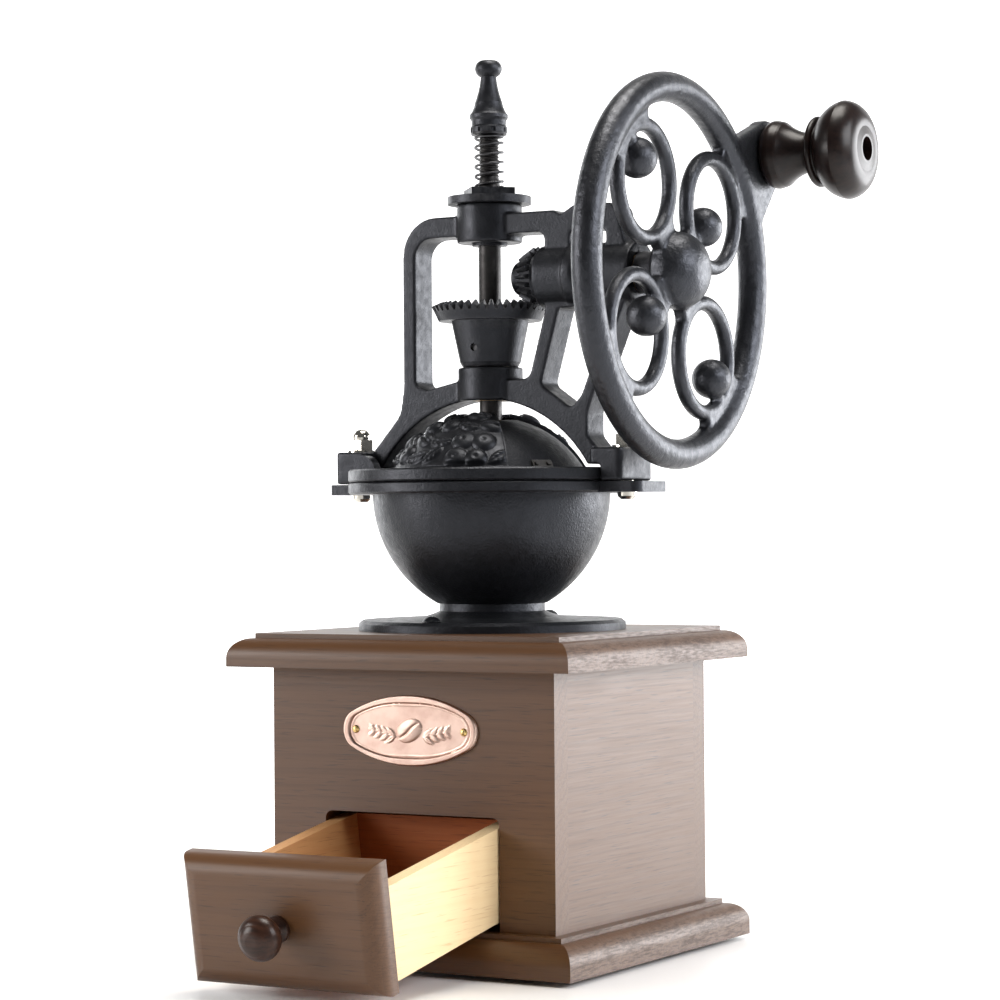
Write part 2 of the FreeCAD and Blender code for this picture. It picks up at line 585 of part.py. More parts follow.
def yoke_frame():
    plate = slab_xz(yoke_outline(), -YOKE_HALF, YOKE_HALF)
    for window in (main_window(), strut_window(), slot_window()):
        plate = plate.cut(slab_xz(window, -YOKE_HALF - 1, YOKE_HALF + 1))
    plate = plate.cut(cylinder_y(ARCH_R, -YOKE_HALF - 1, YOKE_HALF + 1, 0, ARCH_Z))
    low_hub = cylinder(LOW_HUB_R, LOW_HUB_Z0, LOW_HUB_Z1)
    top_hub = cylinder(TOP_HUB_R, TOP_HUB_Z0, TOP_HUB_Z1)
    barrel = cylinder_x(BARREL_R, BARREL_X0, BARREL_X1, 0, CRANK_Z)
    lip = cylinder_x(BARREL_R + 0.5, LIP_X0, LIP_X1, 0, CRANK_Z)
    body = joined([plate, low_hub, top_hub, barrel, lip, yoke_foot(-1), yoke_foot(1)])
    body = body.cut(cylinder(BUSH_R, LOW_HUB_Z0 - 1, LOW_HUB_Z1 + 1))
    body = body.cut(cylinder(BUSH_R, TOP_HUB_Z0 - 1, TOP_HUB_Z1 + 1))
    return body.cut(cylinder_x(BARREL_BUSH_R, BARREL_X0 - 1, BARREL_X1 + 1, 0, CRANK_Z))


def clamp_bolts():
    """Pan-headed bolts up through the lugs and the yoke's feet."""
    bolts = []
    for x in (-BOLT_X, BOLT_X):
        shank = cylinder(BOLT_R, BOWL_TOP, FOOT_TOP + 5.5, x)
        head = lathe([(0, BOWL_TOP - 2.2), (2.0, BOWL_TOP - 2.2), (3.1, BOWL_TOP - 1.2),
                      (3.2, BOWL_TOP), (0, BOWL_TOP)])
        head.translate(Vec(x, 0, 0))
        bolts.append(shank.fuse(head))
    return group(bolts)


def clamp_washers():
    return group([tube(4.7, BOLT_R + 0.1, FOOT_TOP, FOOT_TOP + 0.7, x) for x in (-BOLT_X, BOLT_X)])


def acorn_nuts():
    """Domed nuts on the clamp bolts."""
    nuts = []
    low = FOOT_TOP + 0.7
    for x in (-BOLT_X, BOLT_X):
        dome = lathe([(0, low + 3.2), (2.9, low + 3.2), (3.0, low + 4.2),
                      ((2.3, low + 6.0), (0.9, low + 6.8)), (0, low + 6.8)])
        dome.translate(Vec(x, 0, 0))
        nut = hexagon(7.0, low, low + 3.4, x).fuse(dome)
        nuts.append(nut.cut(cylinder(BOLT_R, low - 1, FOOT_TOP + 5.5, x)))
    return group(nuts)


def lower_bush():
    return tube(BUSH_R, SHAFT_R + FIT, LOW_HUB_Z0, LOW_HUB_Z1)


def top_bush():
    """Flanged bush with a square head, pressed into the top hub."""
    flange_top = TOP_HUB_Z1 + FLANGE_BUSH_T
    side = SQUARE_SIDE / 2
    square = block(-side, side, -side, side, flange_top - 0.2, SPRING_BOTTOM)
    square.rotate(Vec(0, 0, 0), Z_AXIS, SQUARE_TURN)
    shell = joined([cylinder(BUSH_R, TOP_HUB_Z0 - 0.9, TOP_HUB_Z1),
                    cylinder(FLANGE_BUSH_R, TOP_HUB_Z1, flange_top), square])
    return shell.cut(cylinder(SHAFT_R + FIT, TOP_HUB_Z0 - 3, SPRING_BOTTOM + 1))


def barrel_bushes():
    bushes = []
    for low, high in ((BARREL_X0, BARREL_X0 + 9), (BARREL_X1 - 9, BARREL_X1)):
        outer = cylinder_x(BARREL_BUSH_R, low, high, 0, CRANK_Z)
        bushes.append(outer.cut(cylinder_x(CRANK_R + FIT, low - 1, high + 1, 0, CRANK_Z)))
    return group(bushes)


# ---- bevel gears: straight teeth, all elements meeting at one apex ------------------------------
APEX = Vec(0, 0, CRANK_Z)
RING_PITCH_R = MODULE * RING_TEETH / 2
PINION_PITCH_R = MODULE * PINION_TEETH / 2
CONE_DISTANCE = math.hypot(RING_PITCH_R, PINION_PITCH_R)
PINION_ANGLE = math.atan2(PINION_PITCH_R, RING_PITCH_R)
RING_ANGLE = math.pi / 2 - PINION_ANGLE
ADDENDUM, DEDENDUM = MODULE, 1.25 * MODULE


def flank_point(height, teeth, cone_angle):
    """(across, up) of a gap's involute flank, on the gear's back cone laid flat."""
    virtual_teeth = teeth / math.cos(cone_angle)
    pitch_r = MODULE * virtual_teeth / 2
    base_r = pitch_r * math.cos(PRESSURE_ANGLE)
    radius = pitch_r + height
    pressure = math.acos(min(base_r / radius, 1.0))
    involute = math.tan(pressure) - pressure
    at_pitch = math.tan(PRESSURE_ANGLE) - PRESSURE_ANGLE
    tooth_half = math.pi / (2 * virtual_teeth) + at_pitch - involute - BACKLASH / (4 * pitch_r)
    turn = math.pi / virtual_teeth - tooth_half
    return radius * math.sin(turn), radius * math.cos(turn) - pitch_r


def gap_cutter(teeth, cone_angle, axis, radial):
    """Flat-sided wedge of cone elements that clears the space between two teeth."""
    tangent = axis.cross(radial)
    pitch_line = axis * math.cos(cone_angle) + radial * math.sin(cone_angle)
    outward = radial * math.cos(cone_angle) - axis * math.sin(cone_angle)
    heights = [-DEDENDUM, -DEDENDUM / 2, 0, ADDENDUM / 2, ADDENDUM * 1.6]
    flank = [flank_point(h, teeth, cone_angle) for h in heights]
    outline = [(w, h) for w, h in flank] + [(-w, h) for w, h in reversed(flank)]
    ends = []
    for scale in (1.12, 0.9 * (CONE_DISTANCE - PINION_FACE) / CONE_DISTANCE):
        end = []
        for width, height in outline:
            offset = pitch_line * CONE_DISTANCE + outward * height + tangent * width
            end.append(APEX + offset * scale)
        ends.append(end)
    faces = [Part.Face(Part.makePolygon(end + end[:1])) for end in ends]
    count = len(outline)
    for i in range(count):
        j = (i + 1) % count
        loop = [ends[0][i], ends[0][j], ends[1][j], ends[1][i], ends[0][i]]
        faces.append(Part.Face(Part.makePolygon(loop)))
    solid = Part.Solid(Part.Shell(faces))
    if solid.Volume < 0:
        solid.reverse()
    return solid


def toothed(blank, teeth, cone_angle, axis, first_radial, shift):
    """Blank with its tooth gaps cleared. Shift is the first gap's place in tooth pitches."""
    cutter = gap_cutter(teeth, cone_angle, axis, first_radial)
    for i in range(teeth):
        copy = cutter.copy()
        copy.rotate(APEX, axis, (i + shift) * 360 / teeth)
        blank = blank.cut(copy)
    return blank


def cone_point(distance, height, cone_angle):
    """(radius, distance along the axis) of a point above or below the pitch cone."""
    return (distance * math.sin(cone_angle) + height * math.cos(cone_angle),
            distance * math.cos(cone_angle) - height * math.sin(cone_angle))


def ring_gear():
    """Ring gear, teeth up."""
    near = (CONE_DISTANCE - RING_FACE) / CONE_DISTANCE
    tip_r, tip_d = cone_point(CONE_DISTANCE, ADDENDUM, RING_ANGLE)
    heel_r, heel_d = cone_point(CONE_DISTANCE, -1.6 * DEDENDUM, RING_ANGLE)
    toe_r, toe_d = cone_point(CONE_DISTANCE * near, -1.6 * DEDENDUM * near, RING_ANGLE)
    blank = lathe([(SHAFT_R, CRANK_Z - toe_d), (toe_r, CRANK_Z - toe_d),
                   (tip_r * near, CRANK_Z - tip_d * near), (tip_r, CRANK_Z - tip_d),
                   (heel_r, CRANK_Z - heel_d), (heel_r - 1.0, GEAR_BACK_Z), (SHAFT_R, GEAR_BACK_Z)])
    return toothed(blank, RING_TEETH, RING_ANGLE, Vec(0, 0, -1), X_AXIS, 0)


def gear_hub():
    """Tapered hub that carries the ring gear, cross pinned to the spindle."""
    low = LOW_HUB_Z1 + 0.3
    hub = lathe([(SHAFT_R, low), (CONE_BOTTOM_R - 0.4, low), (CONE_BOTTOM_R + 0.4, low + 1.4),
                 (CONE_TOP_R, GEAR_BACK_Z), (SHAFT_R, GEAR_BACK_Z)])
    return hub.cut(cylinder_y(GEAR_PIN_R, -20, 20, 0, GEAR_PIN_Z))


def gear_pin():
    """Cross pin that ties the gear's hub to the spindle."""
    return cylinder_y(GEAR_PIN_R, -9.6, 9.6, 0, GEAR_PIN_Z)


def pinion():
    """Pinion on the crank shaft, with a plain boss at its small end."""
    near = (CONE_DISTANCE - PINION_FACE) / CONE_DISTANCE
    tip_r, tip_x = cone_point(CONE_DISTANCE, ADDENDUM, PINION_ANGLE)
    heel_r, heel_x = cone_point(CONE_DISTANCE, -DEDENDUM, PINION_ANGLE)
    toe_r, toe_x = cone_point(CONE_DISTANCE * near, -1.3 * DEDENDUM * near, PINION_ANGLE)
    back, boss = BARREL_X0 - 0.4, PINION_BOSS_X
    blank = lathe_x([(boss, 0), (boss, PINION_BOSS_R - 1.1),
                     ((boss + 0.3, PINION_BOSS_R - 0.3), (boss + 1.1, PINION_BOSS_R)),
                     (toe_x, PINION_BOSS_R), (toe_x, toe_r), (tip_x * near, tip_r * near),
                     (tip_x, tip_r), (heel_x, heel_r), (back, heel_r - 0.6), (back, 0)], 0, CRANK_Z)
    gear = toothed(blank, PINION_TEETH, PINION_ANGLE, X_AXIS, Vec(0, 0, -1), 0.5)
    return gear.cut(cylinder_x(CRANK_R, CRANK_X0 - 0.1, BARREL_X0 + 1, 0, CRANK_Z))


def spindle_shaft():
    """Spindle: plain through both bushes, threaded above, with a shoulder under the burr."""
    plain = cylinder(SHAFT_R, SHAFT_BOTTOM, SPRING_BOTTOM + 0.5)
    thread = cylinder(THREAD_R, SPRING_BOTTOM, SHAFT_TOP)
    return joined([plain, thread]).cut(cylinder_y(GEAR_PIN_R, -20, 20, 0, GEAR_PIN_Z))


def inner_burr():
    """Grinding cone on the spindle with slanted cutting grooves."""
    cone = lathe([(SHAFT_R, BURR_BOTTOM), (9.3, BURR_BOTTOM), (9.3, BURR_BOTTOM + 3.2),
                  (5.6, BURR_TOP + 2), (SHAFT_R, BURR_TOP + 2)])
    for i in range(12):
        cutter = Part.makeCylinder(0.8, 18, Vec(9.6, 0, BURR_BOTTOM - 2), Vec(-0.24, 0.2, 1))
        cutter.rotate(Vec(0, 0, 0), Z_AXIS, i * 360 / 12)
        cone = cone.cut(cutter)
    return cone


def burr_washer():
    return tube(7.0, SHAFT_R, BURR_BOTTOM - 1.2, BURR_BOTTOM)


def burr_nut():
    return hexagon(11.0, BURR_BOTTOM - 5.4, BURR_BOTTOM - 1.2).cut(cylinder(SHAFT_R, 80, 120))


def spring():
    """Coil spring between the top bush and the cup washer."""
    low = SPRING_BOTTOM + SPRING_WIRE + 0.1
    height = FINIAL_BOTTOM - CUP_WASHER_T - SPRING_WIRE - 0.1 - low
    pitch = height / SPRING_TURNS
    helix = Part.makeHelix(pitch, height, SPRING_R)
    helix.translate(Vec(0, 0, low))
    start = Vec(SPRING_R, 0, low)
    section = Part.Face(Part.Wire(Part.makeCircle(SPRING_WIRE, start, Y_AXIS)))
    return Part.Wire(helix.Edges).makePipe(section)


def cup_washer():
    return tube(5.6, THREAD_R + FIT, FINIAL_BOTTOM - CUP_WASHER_T, FINIAL_BOTTOM)


def finial_nut():
    """Adjusting nut: notched foot, waist, collar and a spire with a ball on top."""
    z = FINIAL_BOTTOM
    nut = lathe([(0, z), (5.8, z), (5.8, z + 1.6), (5.4, z + 2.2), (5.5, z + 3.8), (6.05, z + 4.6),
                 (6.05, z + 5.6), (5.5, z + 6.2), ((4.5, z + 8.6), (4.3, z + 9.6)),
                 ((2.9, z + 14.5), (2.45, z + 17.6)), ((4.25, z + 20.2), (2.6, z + 22.7)), (0, z + 23.1)])
    for i in range(8):
        notch = cylinder(0.7, z - 1, z + 1.4, 5.9 * math.cos(i * math.pi / 4),
                         5.9 * math.sin(i * math.pi / 4))
        nut = nut.cut(notch)
    return nut.cut(cylinder(THREAD_R + FIT, z - 1, SHAFT_TOP + FINIAL_TRAVEL + 0.5))


# ---- crank, wheel and knob -----------------------------------------------------------------------
def crank_shaft():
    return cylinder_x(CRANK_R, CRANK_X0, CRANK_X1, 0, CRANK_Z)


def crank_collar():
    """Thrust collar between the barrel and the wheel."""
    outer = cylinder_x(COLLAR_R, BARREL_X1 + 0.2, HUB_BACK, 0, CRANK_Z)
    outer = outer.cut(cylinder(1.0, CRANK_Z + 1, CRANK_Z + 8, COLLAR_SCREW_X))
    return outer.cut(cylinder_x(CRANK_R, 50, 65, 0, CRANK_Z))


def collar_screw():
    """Grub screw that locks the collar."""
    return cylinder(1.0, CRANK_Z + CRANK_R, CRANK_Z + COLLAR_R - 0.2, COLLAR_SCREW_X)


def scroll_centres():
    centres = []
    for i in range(4):
        turn = math.radians(SCROLL_ANGLE + 90 * i)
        centres.append((turn, SCROLL_PCR * math.cos(turn), CRANK_Z + SCROLL_PCR * math.sin(turn)))
    return centres


def wheel_hub():
    """Domed hub with a flat back boss."""
    mid = (SCROLL_X1 + HUB_FRONT) / 2
    return lathe_x([(HUB_BACK, 0), (HUB_BACK, 8.4), (SCROLL_X0, HUB_R - 0.6), (SCROLL_X1 - 1, HUB_R),
                    ((mid + 1.6, HUB_R * 0.72), (HUB_FRONT, 1.0)), (HUB_FRONT, 0)], 0, CRANK_Z)


def scroll_ball(turn, y, z, outward):
    """Ball on a short stem inside a scroll ring, next to the rim or next to the hub."""
    reach = SCROLL_R - SCROLL_TUBE - BALL_R - 0.4
    way = 1 if outward else -1
    by, bz = y + way * reach * math.cos(turn), z + way * reach * math.sin(turn)
    ball = Part.makeSphere(BALL_R, Vec(65.2, by, bz))
    direction = Vec(0, way * math.cos(turn), way * math.sin(turn))
    stem = Part.makeCylinder(2.2, BALL_R + 2.5, Vec(64.9, by, bz), direction)
    return [ball, stem]


def scroll_web(turn, outer, inner, outer_half, inner_half):
    """Tapered gusset along a scroll's radius, between two distances from the crank axis."""
    corners = []
    for reach, across in ((outer, -outer_half), (outer, outer_half), (inner, inner_half),
                          (inner, -inner_half)):
        corners.append((reach * math.cos(turn) - across * math.sin(turn),
                        CRANK_Z + reach * math.sin(turn) + across * math.cos(turn)))
    return slab_yz(corners, SCROLL_X0 + 0.3, SCROLL_X1 - 0.3)


def handle_ear():
    """Ear cast on the rim that carries the knob."""
    turn = math.atan2(HANDLE_Z - CRANK_Z, HANDLE_Y)
    root = RIM_R - 1.0
    disc = cylinder_x(EAR_R, EAR_X0, EAR_X1, HANDLE_Y, HANDLE_Z)
    corners = []
    for offset, reach in ((-15.5, root), (15.5, root)):
        corners.append((reach * math.cos(turn) - offset * math.sin(turn),
                        CRANK_Z + reach * math.sin(turn) + offset * math.cos(turn)))
    for offset in (EAR_R, -EAR_R):
        corners.append((HANDLE_Y - offset * math.sin(turn), HANDLE_Z + offset * math.cos(turn)))
    return [disc, slab_yz(corners, EAR_X0, EAR_X1)]


def crank_wheel():
    """Cast wheel: round rim, four scroll rings with balls, domed hub and knob ear."""
    rim = Part.makeTorus(RIM_R, RIM_TUBE, Vec(WHEEL_X, 0, CRANK_Z), X_AXIS)
    webs, rings = [], []
    for i, (turn, y, z) in enumerate(scroll_centres()):
        hole = cylinder_x(SCROLL_R, SCROLL_X0 - 3, SCROLL_X1 + 3, y, z)
        outer = scroll_web(turn, RIM_R - 1, RIM_R - RIM_TUBE - 6, 17.0, 10.0)
        inner = scroll_web(turn, SCROLL_PCR - SCROLL_R + 1, HUB_R - 4, 6.5, 4.5)
        webs += [outer.cut(hole), inner.cut(hole)]
        rings.append(Part.makeTorus(SCROLL_R, SCROLL_TUBE, Vec(WHEEL_X, y, z), X_AXIS))
        rings += scroll_ball(turn, y, z, i % 2 == 1)
    wheel = joined([rim, wheel_hub()] + webs + handle_ear())
    wheel = joined([wheel] + rings)
    wheel = wheel.cut(cylinder_x(CRANK_R, HUB_BACK - 1, CRANK_X1, 0, CRANK_Z))
    return wheel.cut(cylinder_x(2.0, EAR_X0 - 2, EAR_X1 + 2, HANDLE_Y, HANDLE_Z))


def handle_screw():
    """Shoulder screw: the knob turns on it, its head is sunk in the knob's end."""
    shank = cylinder_x(2.0, EAR_X0 - 0.6, KNOB_SINK_X + 1.5, HANDLE_Y, HANDLE_Z)
    head = cylinder_x(3.4, KNOB_SINK_X + 0.2, KNOB_SINK_X + 2.6, HANDLE_Y, HANDLE_Z)
    slot = block(KNOB_SINK_X + 1.8, KNOB_SINK_X + 4, HANDLE_Y - 5, HANDLE_Y + 5,
                 HANDLE_Z - 0.45, HANDLE_Z + 0.45)
    return shank.fuse(head).cut(slot)


def knob_washer():
    outer = cylinder_x(5.0, EAR_X1, KNOB_X0 - 0.05, HANDLE_Y, HANDLE_Z)
    return outer.cut(cylinder_x(2.0, EAR_X1 - 1, KNOB_X0 + 1, HANDLE_Y, HANDLE_Z))


def handle_knob():
    """Turned knob: collar, waist, thin bead and flattened ball, bored for its screw."""
    x0, ball = KNOB_X0, KNOB_BALL_X
    steps = [(x0, 0), (x0, 8.8), ((x0 + 0.9, 10.1), (x0 + 3.7, 10.8)), (x0 + 5.6, 10.3),
             (x0 + 6.2, 9.9), ((x0 + 9.6, 7.6), (x0 + 13.6, 6.3)), (x0 + 15.6, 6.1),
             (x0 + 16.4, 9.6), ((x0 + 17.2, 11.2), (x0 + 18.2, 9.4)), (x0 + 18.6, 9.2),
             ((ball - 5.1, 13.4), (ball, 15.6)), ((ball + 4.6, 13.2), (KNOB_END - 0.4, 7.2)),
             (KNOB_END, 4.6), (KNOB_END, 0)]
    knob = lathe_x(steps, HANDLE_Y, HANDLE_Z)
    knob = knob.cut(cylinder_x(KNOB_BORE, x0 - 1, KNOB_END + 1, HANDLE_Y, HANDLE_Z))
    return knob.cut(cylinder_x(KNOB_SINK_R, KNOB_SINK_X, KNOB_END + 1, HANDLE_Y, HANDLE_Z))


def build():
    """Every node, by name."""
    deck_screws = disc_screws()
    bored_deck = top_board()
    for screw in deck_screws:
        bored_deck = bored_deck.cut(screw)
    nodes = {
        "base_pad": base_pad(),
        "bottom_board": bottom_board(),
        "top_board": bored_deck,
        "front_panel": screwed(front_panel()),
        "back_panel": screwed(back_panel()),
        "left_panel": screwed(side_panel(-1)),
        "right_panel": screwed(side_panel(1)),
        "drawer_runners": drawer_runners(),
        "box_screws": group(box_screws()),
        "name_plate": name_plate(),
        "name_plate_pins": plate_pins(),
        "hopper_foot": hopper_foot(),
        "hopper_bowl": hopper_bowl(),
        "hopper_screws": group(deck_screws),
        "outer_burr": outer_burr(),
        "lid_ring": lid_ring(),
        "lid_door": lid_door(),
        "lid_door_tab": door_tab(),
        "yoke_frame": yoke_frame(),
        "clamp_bolts": clamp_bolts(),
        "clamp_washers": clamp_washers(),
        "acorn_nuts": acorn_nuts(),
        "lower_bush": lower_bush(),
        "top_bush": top_bush(),
        "barrel_bushes": barrel_bushes(),
        "spindle_shaft": spindle_shaft(),
        "ring_gear": ring_gear(),
        "gear_hub": gear_hub(),
        "ring_gear_pin": gear_pin(),
        "inner_burr": inner_burr(),
        "burr_washer": burr_washer(),
        "burr_nut": burr_nut(),
        "adjusting_spring": spring(),
        "cup_washer": cup_washer(),
        "finial_nut": finial_nut(),
        "pinion": pinion(),
        "crank_shaft": crank_shaft(),
        "crank_collar": crank_collar(),
        "collar_screw": collar_screw(),
        "crank_wheel": crank_wheel(),
        "handle_screw": handle_screw(),
        "knob_washer": knob_washer(),
        "handle_knob": handle_knob(),
        "drawer_front": opened(drawer_front()),
        "drawer_left_side": opened(drawer_side(-1)),
        "drawer_right_side": opened(drawer_side(1)),
        "drawer_back": opened(drawer_back()),
        "drawer_floor": opened(drawer_floor()),
        "drawer_knob": opened(drawer_knob()),
        "drawer_knob_screw": opened(drawer_knob_screw()),
        "drawer_stop_pins": stop_pins(),
    }
    # the name plate's pins sit in drilled holes
    nodes["front_panel"] = nodes["front_panel"].cut(nodes["name_plate_pins"])
    return nodes


os.makedirs("parts", exist_ok=True)
for name, shape in build().items():
    shape.exportStep("parts/" + name + ".step")
    print(name, shape.isValid(), len(shape.Solids), round(shape.Volume, 1))
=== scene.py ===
"""Looks of a hand crank coffee grinder: stained wooden case, sand-cast black iron, turned dark knob."""
import math
import random

import bmesh
import bpy
from mathutils import Matrix, Vector


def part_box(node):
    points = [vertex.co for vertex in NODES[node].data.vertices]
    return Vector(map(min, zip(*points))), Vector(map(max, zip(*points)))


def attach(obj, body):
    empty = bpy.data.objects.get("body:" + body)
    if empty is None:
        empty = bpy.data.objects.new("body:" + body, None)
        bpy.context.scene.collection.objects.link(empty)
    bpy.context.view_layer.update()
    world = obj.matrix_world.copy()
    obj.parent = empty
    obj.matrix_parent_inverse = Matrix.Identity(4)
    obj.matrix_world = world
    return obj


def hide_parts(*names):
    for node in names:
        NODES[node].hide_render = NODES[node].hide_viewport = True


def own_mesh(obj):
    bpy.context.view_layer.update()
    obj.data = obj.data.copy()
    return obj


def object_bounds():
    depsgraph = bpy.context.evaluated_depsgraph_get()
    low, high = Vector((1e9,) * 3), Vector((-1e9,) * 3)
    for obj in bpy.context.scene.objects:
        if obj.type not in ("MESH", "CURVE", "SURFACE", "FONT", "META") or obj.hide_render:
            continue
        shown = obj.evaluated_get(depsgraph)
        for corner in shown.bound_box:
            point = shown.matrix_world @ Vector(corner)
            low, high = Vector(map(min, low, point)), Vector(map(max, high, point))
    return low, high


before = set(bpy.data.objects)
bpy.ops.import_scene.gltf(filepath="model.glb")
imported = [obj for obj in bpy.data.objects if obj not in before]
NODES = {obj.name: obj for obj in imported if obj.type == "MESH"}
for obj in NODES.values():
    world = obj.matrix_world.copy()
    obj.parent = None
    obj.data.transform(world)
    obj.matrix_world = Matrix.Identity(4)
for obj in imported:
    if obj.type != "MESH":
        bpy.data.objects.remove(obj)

MM = 0.001
CAD_LOW, CAD_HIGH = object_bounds()

# ---- camera and light -------------------------------------------------------------------------
CAMERA_AT = Vector((0.4808, -0.8261, 0.1343))
CAMERA_AZIMUTH, CAMERA_PITCH, CAMERA_ROLL = math.radians(30.04), math.radians(0.42), math.radians(-0.42)
LENS_MM, SENSOR_MM = 109.3, 36.0

# name, direction from the object (x, y, z), distance m, width m, height m, power W, colour
SOFTBOXES = [
    ("light_back_right", (0.60, 0.80, 0.03), 1.25, 0.9, 0.66, 17.5, (0.97, 0.98, 1.0)),
    ("light_front_left", (-0.76, -0.65, 0.22), 1.35, 0.6, 0.7, 12.5, (1.0, 0.97, 0.95)),
    ("light_top", (0.10, 0.10, 1.0), 1.10, 0.6, 0.6, 12.0, (1.0, 0.96, 0.90)),
    ("light_left", (-1.0, 0.45, 0.16), 1.20, 0.3, 0.9, 3.0, (0.95, 0.97, 1.0)),
    ("light_right", (1.0, 0.05, 0.45), 1.30, 0.9, 0.6, 14.0, (0.96, 0.97, 1.0)),
]
WORLD_LIGHT = 0.10
SWEEP_FROM, SWEEP_FULL = 0.10, 1.1      # m behind the object: where the floor starts to glow, and glows fully
SWEEP_GLOW = 1.1
FLOOR_HALF, FLOOR_RISE, FLOOR_BEND, BEND_STEPS = 3.0, 2.4, 0.9, 16


def make_camera():
    data = bpy.data.cameras.new("camera")
    data.lens, data.sensor_width = LENS_MM, SENSOR_MM
    data.clip_start, data.clip_end = 0.05, 20.0
    camera = bpy.data.objects.new("camera", data)
    bpy.context.scene.collection.objects.link(camera)
    forward = Vector((-math.sin(CAMERA_AZIMUTH) * math.cos(CAMERA_PITCH),
                      math.cos(CAMERA_AZIMUTH) * math.cos(CAMERA_PITCH), math.sin(CAMERA_PITCH)))
    turn = forward.to_track_quat("-Z", "Y").to_matrix().to_4x4()
    camera.matrix_world = Matrix.Translation(CAMERA_AT) @ turn @ Matrix.Rotation(CAMERA_ROLL, 4, "Z")
    bpy.context.scene.camera = camera


def make_lights():
    centre = (CAD_LOW + CAD_HIGH) / 2
    for name, direction, distance, width, height, power, colour in SOFTBOXES:
        data = bpy.data.lights.new(name, "AREA")
        data.shape, data.size, data.size_y = "RECTANGLE", width, height
        data.energy, data.color = power, colour
        lamp = bpy.data.objects.new(name, data)
        bpy.context.scene.collection.objects.link(lamp)
        towards = Vector(direction).normalized()
        lamp.location = centre + towards * distance
        lamp.rotation_euler = (-towards).to_track_quat("-Z", "Y").to_euler()
        lamp.visible_camera = False


def make_world():
    """Dim even light from all round."""
    world = bpy.data.worlds.new("studio")
    bpy.context.scene.world = world
    world.use_nodes = True
    tree = world.node_tree
    shade = tree.nodes["Background"]
    shade.inputs["Color"].default_value = (1.0, 1.0, 1.0, 1.0)
    shade.inputs["Strength"].default_value = WORLD_LIGHT


def make_floor():
    """White sweep: a floor that curves up behind the object."""
    mesh = bmesh.new()
    profile = [(-FLOOR_HALF, 0.0)]
    for i in range(BEND_STEPS + 1):
        turn = math.pi / 2 * i / BEND_STEPS
        profile.append((FLOOR_HALF - FLOOR_BEND + FLOOR_BEND * math.sin(turn),
                        FLOOR_BEND - FLOOR_BEND * math.cos(turn)))
    profile.append((FLOOR_HALF, FLOOR_RISE))
    rows = []
    for along, up in profile:
        rows.append([mesh.verts.new((side, along, up)) for side in (-FLOOR_HALF, FLOOR_HALF)])
    for low, high in zip(rows, rows[1:]):
        mesh.faces.new((low[0], low[1], high[1], high[0]))
    floor = link_mesh(mesh, "floor")
    floor.rotation_euler = (0, 0, CAMERA_AZIMUTH)
    paint(floor, floor_material())


# ---- small helpers ------------------------------------------------------------------------------
def link_mesh(mesh, name):
    """Turns a bmesh into a linked, smooth-shaded object."""
    mesh.normal_update()
    data = bpy.data.meshes.new(name)
    mesh.to_mesh(data)
    mesh.free()
    for face in data.polygons:
        face.use_smooth = True
    made = bpy.data.objects.new(name, data)
    bpy.context.scene.collection.objects.link(made)
    return made


def paint(piece, material):
    piece.data.materials.clear()
    piece.data.materials.append(material)


def add(tree, kind, inputs=None, **settings):
    """New node. An input's value is a socket to link or a constant to set."""
    made = tree.nodes.new(kind)
    for key, value in settings.items():
        setattr(made, key, value)
    for key, value in (inputs or {}).items():
        if isinstance(value, bpy.types.NodeSocket):
            tree.links.new(value, made.inputs[key])
        else:
            made.inputs[key].default_value = value
    return made


def blank(name):
    """New material: its node tree and its Principled shader."""
    material = bpy.data.materials.new(name)
    material.use_nodes = True
    return material, material.node_tree, material.node_tree.nodes["Principled BSDF"]


def object_coords(tree, scale=(1, 1, 1), shift=(0, 0, 0), turn=(0, 0, 0)):
    """Object coordinates through a Mapping node: the pattern stays with the piece."""
    coords = add(tree, "ShaderNodeTexCoord")
    mapping = add(tree, "ShaderNodeMapping", {"Vector": coords.outputs["Object"], "Scale": scale,
                                              "Location": shift, "Rotation": turn})
    return mapping.outputs["Vector"]


def noise(tree, vector, scale, detail=3.0, roughness=0.5):
    made = add(tree, "ShaderNodeTexNoise", {"Vector": vector, "Scale": scale, "Detail": detail,
                                            "Roughness": roughness})
    return made.outputs["Fac"]


def ramp(tree, value, stops):
    """Colour ramp from (position, colour) stops."""
    made = add(tree, "ShaderNodeValToRGB", {"Fac": value})
    bar = made.color_ramp
    while len(bar.elements) < len(stops):
        bar.elements.new(0.5)
    for element, (position, colour) in zip(bar.elements, stops):
        element.position = position
        element.color = tuple(colour) + (1.0,)
    return made.outputs["Color"]


def grey(level):
    return (level, level, level)


def maths(tree, operation, a, b=0.0, c=0.0):
    """Math node. MULTIPLY_ADD gives a * b + c."""
    made = add(tree, "ShaderNodeMath", {0: a, 1: b, 2: c}, operation=operation)
    return made.outputs[0]


def spread(tree, value, low_in, high_in, low_out, high_out):
    """Maps one range onto another, held at its ends."""
    made = add(tree, "ShaderNodeMapRange", {"Value": value, "From Min": low_in, "From Max": high_in,
                                            "To Min": low_out, "To Max": high_out})
    return made.outputs["Result"]


def mix(tree, factor, a, b):
    """Colour a, turning into colour b as the factor rises."""
    made = add(tree, "ShaderNodeMix", data_type="RGBA")
    for index, value in ((0, factor), (6, a), (7, b)):
        if isinstance(value, bpy.types.NodeSocket):
            tree.links.new(value, made.inputs[index])
        else:
            made.inputs[index].default_value = value if index == 0 else tuple(value) + (1.0,)
    return made.outputs[2]


def bump(tree, height, distance, strength=1.0, normal=None):
    made = add(tree, "ShaderNodeBump", {"Height": height, "Distance": distance, "Strength": strength})
    if normal is not None:
        tree.links.new(normal, made.inputs["Normal"])
    return made.outputs["Normal"]


